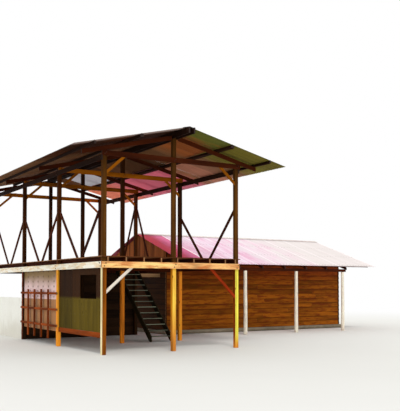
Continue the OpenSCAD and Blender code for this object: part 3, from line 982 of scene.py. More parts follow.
def lay_sheets(node, slot, outward, pitch, rows, sizes):
    """Covers a slope with lapped corrugated sheets in place of a CAD node.

    Each row gives where it starts and ends down the slope from the node's upper edge, how far
    its lower end is raised, and the finishes of its top and its underside. A row that ends at
    None ends where the node does.
    """
    stack = Stack(node)
    number = 0
    for field in separated(frame_copy(node)):
        matrix, length, waves = sheet_field(field, outward, pitch, sizes)
        sheets = max(1, round(waves / sizes.cover_waves))
        cuts = [round(waves * i / sheets) for i in range(sheets + 1)]
        for row, (first, last, lift, _, _) in enumerate(rows):
            reach = (length if last is None else last) - first
            place = matrix @ Matrix.Translation((first, 0.0, 0.0))
            for i in range(sheets):
                lap = 1 if i < sheets - 1 else 0
                start = cuts[i] * sizes.corrugation
                part = corrugated_sheet(
                    start, cuts[i + 1] - cuts[i], reach, lap, lift, sizes, stack.rng, number
                )
                for face in part.faces:
                    face.material_index += 2 * row
                bmesh.ops.transform(part, matrix=place, verts=part.verts)
                if matrix.determinant() < 0:
                    bmesh.ops.reverse_faces(part, faces=part.faces)
                stack.take(part)
                number += 1
    finishes = [FINISHES[name] for row in rows for name in row[3:]]
    return stack.finish(node + "_laid", slot, finishes, [node])


def fixing(*steps):
    """A small fixing that stands along +Z, stacked from flat ended cones.

    Each step gives the cone's sides, its lower and upper radius, its depth, and the height of
    its middle over the face that the fixing stands on.
    """
    part = bmesh.new()
    for sides, lower, upper, depth, height in steps:
        bmesh.ops.create_cone(
            part, cap_ends=True, segments=sides, radius1=lower, radius2=upper, depth=depth,
            matrix=Matrix.Translation((0, 0, height)),
        )
    return part


def screw():
    """A roofing screw: a domed washer and a six sided head."""
    return fixing((10, 0.013, 0.00715, 0.004, 0.001), (6, 0.006, 0.0051, 0.006, 0.005))


def bolt_head():
    """A coach bolt's washer, its nut and the end of the bolt."""
    return fixing(
        (16, 0.016, 0.016, 0.003, 0.0015), (6, 0.010, 0.010, 0.010, 0.008),
        (8, 0.006, 0.005, 0.008, 0.016),
    )


def nail_head():
    """A flat nail head, slightly sunk."""
    return fixing((6, 0.0045, 0.0035, 0.002, 0.0005))


def facing(place, normal):
    """A matrix that stands a fixing at a place, pointing along a normal."""
    turn = Vector(normal).to_track_quat("Z", "Y").to_matrix().to_4x4()
    return Matrix.Translation(Vector(place)) @ turn


# materials by their short names, which the first operator makes
FINISHES = {}


class TimberSizes(bpy.types.PropertyGroup):
    """Sizes of boards and of the wear on sawn wood."""

    arris: FloatProperty(
        name="Worn edge", description="Width of the rounded edge of a sawn member",
        default=0.006, min=0.001, max=0.015, unit="LENGTH",
    )
    wear: FloatProperty(
        name="Unevenness", description="How deep a sawn face is worn at most",
        default=0.004, min=0.0, max=0.010, unit="LENGTH",
    )
    deck_board: FloatProperty(
        name="Deck board", description="Width of a deck board",
        default=0.145, min=0.08, max=0.25, unit="LENGTH",
    )
    board_gap: FloatProperty(
        name="Board gap", description="Gap between two boards laid side by side",
        default=0.005, min=0.001, max=0.015, unit="LENGTH",
    )
    wall_course: FloatProperty(
        name="Wall course", description="Height of one lapped board that shows on the cabin",
        default=0.190, min=0.10, max=0.25, unit="LENGTH",
    )
    gable_board: FloatProperty(
        name="Gable board", description="Width of an upright board on the cabin's end walls",
        default=0.145, min=0.08, max=0.25, unit="LENGTH",
    )
    gable_drop: FloatProperty(
        name="Gable drop", description="How far the upright boards reach below the eaves",
        default=0.350, min=0.0, max=1.0, unit="LENGTH",
    )
    under_board: FloatProperty(
        name="Underfloor board", description="Width of a board of the wall below the deck",
        default=0.180, min=0.10, max=0.30, unit="LENGTH",
    )


class SheetSizes(bpy.types.PropertyGroup):
    """Sizes of the corrugated sheets."""

    corrugation: FloatProperty(
        name="Corrugation", description="Distance from crest to crest",
        default=0.076, min=0.06, max=0.10, unit="LENGTH",
    )
    cover_waves: FloatProperty(
        name="Cover", description="Corrugations that one sheet covers", default=13.0, min=5.0
    )
    lap_line: FloatProperty(
        name="Lap line", description="Width of the paler strip along a lap",
        default=0.08, min=0.01, max=0.15, unit="LENGTH",
    )
    metal: FloatProperty(
        name="Metal", description="Thickness of the metal",
        default=0.001, min=0.0005, max=0.002, unit="LENGTH",
    )


def colour_property(name, description, default):
    """A colour that the panel shows."""
    return FloatVectorProperty(
        name=name, description=description, default=default, subtype="COLOR", min=0.0, max=1.0
    )


class HouseColours(bpy.types.PropertyGroup):
    """Colours of the woods and the sheets."""

    # painted light: the colours above the deck are painted roof shade, and the front and second rows'
    # colours below the deck are painted sunlight
    post_upper_shade: colour_property(
        "Front posts, upper", "Dark wood of the front posts above the deck", paint(89, 53, 12)
    )
    inner_upper_shade: colour_property(
        "Inner posts, upper", "Wood of the rows behind the front above the deck", paint(70, 34, 6)
    )
    post_left: colour_property(
        "Front left post", "Wood of that post below the deck", paint(138, 74, 10)
    )
    post_middle: colour_property(
        "Front middle post", "Wood of that post below the deck", paint(246, 190, 72)
    )
    post_right: colour_property(
        "Front right post", "Wood of that post below the deck", paint(255, 240, 90)
    )
    # painted light and shade: the left faces below the deck, sunlit on the left post and shaded on the
    # middle and right posts
    left_side: colour_property(
        "Left post, side", "Its sunny left face below the deck", paint(255, 240, 186)
    )
    middle_side_shade: colour_property(
        "Middle post, side", "Its left face below the deck", paint(224, 142, 28)
    )
    right_side: colour_property(
        "Right post, side", "Its left face below the deck", paint(142, 62, 8)
    )
    post_foot: colour_property(
        "Post feet", "Feet of the front middle and right posts", paint(214, 134, 50)
    )
    post_second: colour_property(
        "Second row posts", "Wood of those posts below the deck", paint(255, 148, 42)
    )
    # painted shade: the third row's posts below the deck are as dark as the deep shade there
    post_inner: colour_property(
        "Third row posts", "Wood of those posts below the deck", paint(50, 30, 12)
    )
    post_shaded: colour_property(
        "Back row posts", "Wood of those posts below the deck", paint(104, 36, 18)
    )
    # painted shade: the left faces of the two rear rows below the deck
    inner_side_shade: colour_property(
        "Inner rows, side", "Left faces of the two rear rows below the deck", paint(122, 50, 18)
    )
    frame_wood: colour_property(
        "Frame", "Dark reddish wood of rafters, joists and beams", paint(66, 24, 4)
    )
    dark_wood: colour_property(
        "Ridge and purlins", "Darkest wood, close under the sheets", paint(40, 20, 10)
    )
    # painted sunlight: an ochre that stands for sunlight on the rear ties and knee braces
    sunlit_tie_wood: colour_property("Ties", "Ochre wood of the rear ties", paint(150, 84, 4))
    edge_wood: colour_property("Edge beam", "Bleached wood of the front edge", paint(246, 184, 118))
    side_wood: colour_property("Side beams", "Bleached wood of the side edges", paint(255, 250, 230))
    # painted shade: the wall below the deck is as dark as the deep shade there
    underfloor: colour_property("Underfloor", "Wall below the deck", paint(48, 30, 16))
    deck_wood: colour_property("Deck", "Wood of the deck", paint(110, 64, 34))
    # painted shade: the stair's wood is darkened to the deep shade under the deck
    stair_shaded_wood: colour_property("Stair", "Damp wood of the stair", paint(44, 36, 18))
    # painted highlight: the treads' front faces are lighter, as if lit
    nosing_highlight: colour_property("Nosing", "Worn front edges of the treads", paint(140, 146, 124))
    white_paint: colour_property("White brace", "Paint of the pale brace", paint(244, 234, 218))
    red_wood: colour_property("Red brown wood", "Rails and sill", paint(134, 58, 8))
    green_board: colour_property("Green wall", "Paint of the window wall", paint(86, 71, 14))
    # painted shade: the green wall turns dark from its sill upwards
    wall_head_shade: colour_property("Green wall, head", "Its part beside the window", paint(50, 26, 5))
    plank: colour_property("Cabin planks", "Wood of the cabin's long walls", paint(144, 80, 14))
    plank_stain: colour_property("Plank stains", "Redder parts of the planks", paint(112, 46, 14))
    # painted shade: the planks darken under the eaves
    plank_eaves_shade: colour_property("Under the eaves", "Planks close to the roof", paint(118, 52, 14))
    gable: colour_property("Cabin gables", "Upright boards of the end walls", paint(158, 90, 44))
    # painted shade: the level boards of the end walls are dark as in the shade under the deck
    gable_low: colour_property("Below the gables", "Level boards of the end walls", paint(68, 38, 12))
    pole: colour_property("Porch poles", "Bare round wood", paint(255, 238, 218))
    base: colour_property("Base", "Concrete under the cabin", paint(150, 138, 116))
    # partly painted light: the pale top colours are faded pink paint washed further by painted sun
    # glare
    red_top: colour_property("Cabin roof", "Top of the cabin's sheets", paint(252, 240, 252))
    red_patch: colour_property("Cabin patches", "Redder patches of that roof", paint(242, 184, 212))
    # faded paint and painted sun glare, whitest at the far end
    red_faded_glare: colour_property("Cabin far end", "Where it is most faded", paint(238, 230, 228))
    red_left: colour_property("Cabin near end", "Its least faded paint", paint(236, 126, 172))
    red_deep: colour_property("Cabin corner", "Its deepest red", paint(232, 84, 112))
    red_under: colour_property("Red underside", "Underside of that roof", paint(244, 118, 142))
    olive_under: colour_property("Olive underside", "Grey front sheets", paint(126, 120, 44))
    brown_front: colour_property("Brown front", "Underside behind the rafters", paint(176, 100, 52))
    mauve_under: colour_property("Mauve underside", "Underside of faded sheets", paint(206, 140, 114))
    dull_under: colour_property("Dull underside", "Underside of the upper row", paint(135, 94, 62))
    clear_red: colour_property("Clear red sheet", "Translucent red", paint(238, 134, 154))
    clear_salmon: colour_property("Clear salmon sheet", "The same, bleached", paint(255, 168, 136))
    clear_mauve: colour_property("Clear mauve sheet", "The same, at its front", paint(166, 112, 80))
    brown_under: colour_property("Brown underside", "Left sheets", paint(76, 36, 14))
    # painted light: the underside of the left roof's front overhang
    grey_lit_under: colour_property("Grey underside", "Front edge of the left sheets", paint(196, 172, 164))
    clear: colour_property("Clear sheet", "Translucent sheet", paint(216, 214, 220))


class StageSizes(bpy.types.PropertyGroup):
    """Light and floor."""

    sky: FloatProperty(name="Sky", description="Strength of the light all round", default=0.95)
    key: FloatProperty(name="Key", description="Strength of the main lamp", default=1.0)
    floor: colour_property("Floor", "Colour of the floor", paint(226, 226, 222))


class HouseSettings(bpy.types.PropertyGroup):
    """All settings of the house."""

    timber: PointerProperty(type=TimberSizes)
    sheets: PointerProperty(type=SheetSizes)
    colours: PointerProperty(type=HouseColours)
    stage: PointerProperty(type=StageSizes)


class HOUSE_OT_finishes(bpy.types.Operator):
    """Make the materials of every wood, sheet and metal"""

    bl_idname = "house.finishes"
    bl_label = "Materials"

    def execute(self, context):
        hues = context.scene.stilt_house.colours
        self.posts(hues)
        self.woods(hues)
        self.roof_sheets(hues)
        self.walls_and_metal(hues)
        return {"FINISHED"}

    def posts(self, hues):
        """Woods of the posts: painted roof shade above the deck, deeper painted shade under the roof,
        and painted sunlight below the deck on the front and second rows.
        """

        def post(name, upper, lower, west_light_shade=None, west_end=0.2, foot=()):
            # painted shade: the upper colour darkens further under the roof
            zones = ((tint(upper, 0.62), *POST_ROOF_SHADE), *foot)
            return wood(name, upper, lower, west_light_shade=west_light_shade, west_end=west_end, zones=zones)

        FINISHES.update(
            post_left=post("left_post_wood", hues.post_upper_shade, hues.post_left, hues.left_side),
            post_middle=post(
                "middle_post_wood", hues.post_upper_shade, hues.post_middle, hues.middle_side_shade,
                west_end=3.0, foot=((hues.post_foot, 1.3, 0.1),),
            ),
            post_right=post(
                "right_post_wood", hues.post_upper_shade, hues.post_right, hues.right_side,
                west_end=5.0, foot=((hues.post_foot, 0.5, 0.0),),
            ),
            post_second=post("second_row_wood", hues.inner_upper_shade, hues.post_second),
            post_inner=post("third_row_shaded_wood", hues.inner_upper_shade, hues.post_inner, hues.inner_side_shade),
            post_shaded=post("rear_post_wood", hues.inner_upper_shade, hues.post_shaded, hues.inner_side_shade),
        )

    def woods(self, hues):
        """Woods of the frame, the deck, the stair and the cabin, and of sawn ends."""
        FINISHES.update(
            end=end_wood("end_grain", paint(150, 104, 62)),
            dark_end=end_wood("dark_end_grain", paint(44, 22, 12)),
            frame=wood("frame_wood", hues.frame_wood),
            dark=wood("dark_wood", hues.dark_wood),
            # painted sunlight on the rear ties and knee braces
            tie=wood("sunlit_tie_wood", hues.sunlit_tie_wood),
            joining=wood("joining_beam_wood", paint(188, 154, 110)),
            edge=wood("edge_beam_wood", hues.edge_wood, softness=0.65, stains=paint(202, 112, 54)),
            side_edge=wood("side_beam_wood", hues.side_wood, softness=0.9, stains=paint(236, 200, 148)),
            # painted shade of the wall below the deck
            underfloor=wood("underfloor_shaded_wood", hues.underfloor),
            deck=wood("deck_wood", hues.deck_wood, dust=0.5, softness=1.2),
            # painted shade under the deck on the stair and treads
            stair=wood("stair_shaded_wood", hues.stair_shaded_wood, dust=0.1),
            tread=wood("tread_wood", hues.stair_shaded_wood, dust=0.2, nosing_highlight=hues.nosing_highlight),
            white=wood("whitewashed_wood", hues.white_paint, worn=paint(142, 104, 66)),
            red_brown=wood("red_brown_wood", hues.red_wood, dust=0.9),
            brace=wood("brace_wood", paint(150, 46, 8)),
            # painted shade over the green wall from the sill up
            green=wood(
                "green_board", hues.green_board, softness=1.5,
                zones=((hues.wall_head_shade, WINDOW_SILL - 0.04, WINDOW_SILL + 0.06),),
            ),
            # painted shade of the eaves over the top of the planks
            plank=wood(
                "cabin_plank", hues.plank, softness=0.85, stains=hues.plank_stain,
                zones=((hues.plank_eaves_shade, *EAVES_SHADE),),
            ),
            gable=wood("gable_plank", hues.gable, softness=1.2),
            # painted shade on the level boards of the end walls
            gable_low=wood("gable_low_plank", hues.gable_low, softness=1.1),
            pole=pole_wood("bare_pole", hues.pole),
        )

    def roof_sheets(self, hues):
        """Tops and undersides of the corrugated sheets, and the ridge caps."""
        FINISHES.update(
            # partly painted sun glare: the cabin roof's top is near white and turns whiter towards its
            # far end
            red_top=sheeting(
                "red_sheet_top", hues.red_top, hues.red_patch, rust=0.1, laps=1.0, bands=0.15,
                dirt=0.45,
                zones=(
                    (hues.red_faded_glare, 0, 7.5, 12.0, 2.5),
                    (hues.red_left, 0, 6.2, 6.12, 0.0),
                    (hues.red_deep, 0, 5.9, 5.3, 0.4),
                ),
            ),
            red_under=sheeting(
                "red_sheet_under", hues.red_under, paint(190, 78, 96), laps=0.1, specular=0.1
            ),
            front_under=sheeting(
                "front_sheet_under", hues.olive_under, paint(112, 116, 52), laps=0.12, specular=0.1,
                zones=((hues.brown_front, 1, -0.3, 0.2, 1.0), (hues.dull_under, 1, 1.2, 2.0, 0.6)),
            ),
            olive_under=sheeting(
                "olive_sheet_under", hues.olive_under, paint(120, 104, 52), laps=0.12, specular=0.1,
                zones=((hues.mauve_under, 1, 0.2, 2.4, 0.6),),
            ),
            dull_under=sheeting(
                "dull_sheet_under", hues.dull_under, tint(hues.dull_under, 0.7), laps=0.1, specular=0.1
            ),
            clear_red=sheeting(
                "clear_red_sheet", hues.clear_red, tint(hues.clear_red, 0.8), rust=0.0, laps=0.1,
                gloss=0.5, bands=0.4, clear=0.85, specular=0.1, dirt=0.5,
                zones=((hues.clear_salmon, 1, 6.6, 8.6, 0.5), (hues.clear_mauve, 1, 3.8, 3.2, 0.2)),
            ),
            olive_top=sheeting(
                "olive_sheet_top", paint(140, 138, 118), paint(104, 96, 78), metallic=0.3,
                bands=0.6,
            ),
            # painted light on the front overhang's underside
            brown_under=sheeting(
                "brown_sheet_under", hues.brown_under, paint(52, 30, 18), laps=0.05, specular=0.1,
                zones=((hues.grey_lit_under, 1, -0.4, -0.85, 0.15), (hues.dull_under, 1, 1.2, 3.0, 1.0)),
            ),
            brown_top=sheeting(
                "brown_sheet_top", paint(128, 112, 96), paint(92, 74, 58), rust=0.7, bands=0.6
            ),
            purple_cap=sheeting("purple_cap", paint(140, 66, 130), paint(96, 50, 84), rust=0.6),
            pale_cap=sheeting("pale_cap", paint(255, 248, 238), paint(238, 216, 212), bands=0.3),
            clear=clear_sheet("clear_sheet", hues.clear),
        )

    def walls_and_metal(self, hues):
        """Concrete, flat wall sheets and steel."""
        FINISHES.update(
            base=concrete("base_concrete", hues.base),
            pale_wall=flat_sheet(
                "pale_wall_sheet", paint(240, 208, 206), paint(186, 152, 140),
                marks=MARK_GRID, damp_top=2.16,
            ),
            grey_wall=flat_sheet("grey_wall_sheet", paint(180, 128, 84), paint(118, 72, 36)),
            white_wall=flat_sheet("white_wall_sheet", paint(250, 250, 242), paint(206, 200, 184)),
            steel=steel("zinc_steel", paint(132, 126, 120)),
            rusty_steel=steel("rusty_steel", paint(58, 38, 28), shine=0.1),
        )


# CAD nodes of sawn members, with the slot and the finishes of their faces and of their ends
TIMBERS = (
    ("front_left_post", "sunlit_post_wood", "post_left", "dark_end"),
    ("front_middle_post", "sunlit_post_wood", "post_middle", "dark_end"),
    ("front_right_post", "sunlit_post_wood", "post_right", "dark_end"),
    ("second_row_posts", "sunlit_post_wood", "post_second", "dark_end"),
    ("third_row_posts", "dark_frame_wood", "post_inner", "dark_end"),
    ("back_row_posts", "dark_frame_wood", "post_shaded", "dark_end"),
    ("front_edge_beam", "edge_beam_wood", "edge", "end"),
    ("rear_floor_beams", "dark_frame_wood", "frame", "dark_end"),
    # painted light: the joists' ends take the pale end grain, as lit stubs at the deck's edge
    ("floor_joists", "dark_frame_wood", "frame", "end"),
    ("well_trimmers", "dark_frame_wood", "frame", "dark_end"),
    ("front_tie_beam", "dark_frame_wood", "frame", "dark_end"),
    ("rear_tie_beams", "ochre_frame_wood", "tie", "end"),
    ("wall_plates", "dark_frame_wood", "dark", "dark_end"),
    ("ridge_beam", "dark_frame_wood", "dark", "dark_end"),
    ("front_rafters", "dark_frame_wood", "frame", "dark_end"),
    ("rear_rafters", "dark_frame_wood", "frame", "dark_end"),
    ("roof_purlins", "dark_frame_wood", "dark", "dark_end"),
    ("upper_knee_braces", "ochre_frame_wood", "tie", "end"),
    ("lower_left_brace", "whitewashed_wood", "white", "end"),
    ("lower_right_brace", "dark_frame_wood", "brace", "dark_end"),
    ("left_side_braces", "dark_frame_wood", "frame", "dark_end"),
    ("right_side_braces", "dark_frame_wood", "frame", "dark_end"),
    ("sill_rail", "red_brown_wood", "red_brown", "end"),
    ("stair_stringers", "deck_wood", "stair", "dark_end"),
    ("stair_treads", "deck_wood", "tread", "dark_end"),
    ("joining_beam", "deck_wood", "joining", "end"),
    ("cabin_ridge_board", "dark_frame_wood", "frame", "dark_end"),
    ("cabin_rafters", "dark_frame_wood", "frame", "dark_end"),
    ("cabin_purlins", "dark_frame_wood", "frame", "dark_end"),
    ("porch_beam", "dark_frame_wood", "frame", "dark_end"),
)


class HOUSE_OT_timbers(bpy.types.Operator):
    """Dress every sawn post, beam, rafter, brace and stair member"""

    bl_idname = "house.timbers"
    bl_label = "Sawn timbers"

    def execute(self, context):
        sizes = context.scene.stilt_house.timber
        for node, slot, finish, ends in TIMBERS:
            dress_timber(node, slot, FINISHES[finish], FINISHES[ends], sizes)
        # painted shade: the right side beam takes the dark frame wood
        dress_timber(
            "side_edge_beams", "edge_beam_wood", FINISHES["side_edge"], FINISHES["end"], sizes,
            shaded=FINISHES["frame"],
        )
        return {"FINISHED"}


class HOUSE_OT_deck(bpy.types.Operator):
    """Lay the deck boards across the joists"""

    bl_idname = "house.deck"
    bl_label = "Deck boards"

    def execute(self, context):
        sizes = context.scene.stilt_house.timber
        stack = Stack("deck")
        slab = frame_copy("deck_boards")
        low, high = extent(slab)
        for board in boards(slab, NORTH, sizes.deck_board, sizes.board_gap, stack.rng, spread=0.06):
            left, right = [stack.rng.uniform(0.0, DECK_SHORT) for _ in range(2)]
            for vert in board.verts:
                if vert.co.x < low.x + NEAR:
                    vert.co.x += left
                if vert.co.x > high.x - NEAR:
                    vert.co.x -= right
            sawn_member(stack, board, EAST, sizes, depth=DECK_WEAR)
        slab.free()
        stack.finish("deck_planks", "deck_wood", [FINISHES["deck"], FINISHES["end"]], ["deck_boards"])
        return {"FINISHED"}


class HOUSE_OT_lower_walls(bpy.types.Operator):
    """Board the wall below the deck and sheet the left side"""

    bl_idname = "house.lower_walls"
    bl_label = "Lower walls"

    def execute(self, context):
        sizes = context.scene.stilt_house.timber
        stack = Stack("underfloor")
        slab = frame_copy("lower_back_wall")
        low, high = extent(slab)
        middle = (low.y + high.y) / 2
        lap = sizes.under_board * UNDER_LAP
        layers = ((low.y, middle - UNDER_GAP), (middle + UNDER_GAP, high.y))
        for layer, (near, far) in enumerate(layers):
            skin = strip(slab, NORTH, near, far)
            height = low.z + layer * (sizes.under_board - lap)
            while height < high.z - 2 * lap:
                top = min(height + sizes.under_board, high.z)
                board = strip(skin, UP, height, top)
                sawn_member(stack, board, EAST, sizes, depth=THIN_WEAR)
                height += 2 * (sizes.under_board - lap)
            skin.free()
        slab.free()
        stack.finish(
            "underfloor_shaded_boards", "dark_frame_wood", [FINISHES["underfloor"], FINISHES["end"]],
            ["lower_back_wall"],
        )
        self.panels("window_wall", "green_wall_board", "green")
        self.panels("pale_side_sheet", "pale_wall_sheet", "pale_wall")
        self.panels("grey_side_sheet", "grey_wall_sheet", "grey_wall")
        self.panels("white_side_sheet", "white_wall_sheet", "white_wall")
        return {"FINISHED"}

    def panels(self, node, slot, finish):
        """Flat sheets side by side with a thin joint between them."""
        stack = Stack(node)
        slab = frame_copy(node)
        for panel in boards(slab, NORTH, PANEL_WIDTH, PANEL_JOINT, stack.rng):
            ease_edges(panel, PANEL_EASE, segments=1)
            stack.add(panel, UP)
        slab.free()
        stack.finish(node + "_panels", slot, [FINISHES[finish]], [node])


class HOUSE_OT_railing(bpy.types.Operator):
    """Nail uprights on the rails of the side railing"""

    bl_idname = "house.railing"
    bl_label = "Side railing"

    def execute(self, context):
        sizes = context.scene.stilt_house.timber
        stack = Stack("railing")
        low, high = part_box("side_railing")
        near = BAY_Y + HALF_POST
        step = (BAY_Y - 2 * HALF_POST) / (UPRIGHTS + 1)
        uprights = [near + i * step for i in range(1, UPRIGHTS + 1)]
        for y in uprights:
            start, end = y - UPRIGHT_WIDTH / 2, y + UPRIGHT_WIDTH / 2
            upright = block((low.x, start, low.z), (high.x, end, high.z))
            sawn_member(stack, upright, UP, sizes, depth=RAILING_WEAR)
        starts = [low.y] + [y + UPRIGHT_WIDTH / 2 for y in uprights]
        ends = [y - UPRIGHT_WIDTH / 2 for y in uprights] + [high.y]
        for i in range(RAILS):
            z = RAIL_LOW + i * RAIL_GAP
            for start, end in zip(starts, ends):
                rail = block((low.x + RAIL_INSET, start, z), (high.x, end, z + RAIL_WIDTH))
                sawn_member(stack, rail, NORTH, sizes, depth=RAILING_WEAR)
        stack.finish(
            "railing_rails", "red_brown_wood", [FINISHES["red_brown"], FINISHES["end"]],
            ["side_railing"],
        )
        return {"FINISHED"}


class HOUSE_OT_main_roof(bpy.types.Operator):
    """Lay the lapped sheets of the platform's roof"""

    bl_idname = "house.main_roof"
    bl_label = "Platform roof"

    def execute(self, context):
        sizes = context.scene.stilt_house.sheets
        low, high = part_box("clear_roof_sheet")
        meet = slope_length(low, high, EAST, MAIN_PITCH)
        upper = (0.0, meet + ROW_LAP, ROW_LIFT)
        lower = (meet - ROW_LAP, None, 0.0)
        below = (-ROW_LAP, None, 0.0)
        for node, slot, outward, rows in (
            (
                "left_roof_sheets", "brown_roof_sheet", -EAST,
                ((*upper, "brown_top", "brown_under"), (*lower, "brown_top", "brown_under")),
            ),
            (
                "right_front_sheets", "grey_roof_sheet", EAST,
                ((*upper, "olive_top", "front_under"), (*lower, "olive_top", "olive_under")),
            ),
            (
                "right_upper_sheets", "brown_roof_sheet", EAST,
                ((*upper, "brown_top", "dull_under"),),
            ),
            (
                "right_lower_sheets", "red_clear_sheet", EAST,
                ((*below, "clear_red", "clear_red"),),
            ),
            ("clear_roof_sheet", "clear_sheet", EAST, ((*upper, "clear", "clear"),)),
        ):
            lay_sheets(node, slot, outward, MAIN_PITCH, rows, sizes)
        return {"FINISHED"}


class HOUSE_OT_cabin_roof(bpy.types.Operator):
    """Lay the lapped sheets of the cabin's roof"""

    bl_idname = "house.cabin_roof"
    bl_label = "Cabin roof"

    def execute(self, context):
        sizes = context.scene.stilt_house.sheets
        for node, outward in (("cabin_front_roof", -NORTH), ("cabin_back_roof", NORTH)):
            rows = ((0.0, None, 0.0, "red_top", "red_under"),)
            lay_sheets(node, "red_roof_sheet", outward, CABIN_PITCH, rows, sizes)
        return {"FINISHED"}


class HOUSE_OT_ridge_caps(bpy.types.Operator):
    """Bend the ridge caps over both roofs"""

    bl_idname = "house.ridge_caps"
    bl_label = "Ridge caps"

    def execute(self, context):
        self.cap("ridge_cap", "grey_roof_sheet", NORTH, MAIN_PITCH, "purple_cap")
        self.cap("cabin_ridge_cap", "red_roof_sheet", EAST, CABIN_PITCH, "pale_cap")
        return {"FINISHED"}

    def cap(self, node, slot, ridge, pitch, finish):
        """Lengths of bent sheet along a ridge, each lapped over the next."""
        low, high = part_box(node)
        side = square_to(ridge)
        half = (high - low).dot(side) / 2
        middle = (high + low).dot(side) / 2
        start, end = low.dot(ridge), high.dot(ridge)
        count = max(1, round((end - start) / CAP_LENGTH))
        length = (end - start) / count
        stack = Stack(node)
        for i in range(count):
            part = bmesh.new()
            verts = []
            first = start + i * length
            for share in (-1.0, -0.5, 0.0, 0.5, 1.0):
                drop = abs(share) * half * math.tan(pitch)
                height = high.z - CAP_CLEAR - drop - CAP_METAL * (i % 2)
                spot = side * (middle + share * half) + ridge * first + UP * height
                verts.append(part.verts.new(spot))
            edges = [part.edges.new(pair) for pair in zip(verts, verts[1:])]
            reach = length + (CAP_LAP if i < count - 1 else 0.0)
            for _ in range(CAP_STEPS):
                grown = bmesh.ops.extrude_edge_only(part, edges=edges)["geom"]
                moved = [g for g in grown if isinstance(g, bmesh.types.BMVert)]
                bmesh.ops.translate(part, verts=moved, vec=ridge * (reach / CAP_STEPS))
                edges = [g for g in grown if isinstance(g, bmesh.types.BMEdge)]
                edges = [e for e in edges if abs((e.verts[0].co - e.verts[1].co).dot(side)) > 0.01]
            apex = [
                e for e in part.edges
                if all(abs(v.co.dot(side) - middle) < NEAR for v in e.verts)
            ]
            bmesh.ops.bevel(
                part, geom=apex, offset=CAP_BEND, segments=4, profile=0.5, affect="EDGES",
                material=-1,
            )
            thicken(part, CAP_METAL)
            grain = part.verts.layers.float_vector.new("grain")
            shade = part.verts.layers.float.new("tone")
            tone = stack.rng.random()
            for vert in part.verts:
                vert[grain] = (vert.co.dot(side), vert.co.dot(ridge), 5.0 * i)
                vert[shade] = tone
            stack.take(part)
        stack.finish(node + "_bent", slot, [FINISHES[finish]], [node])


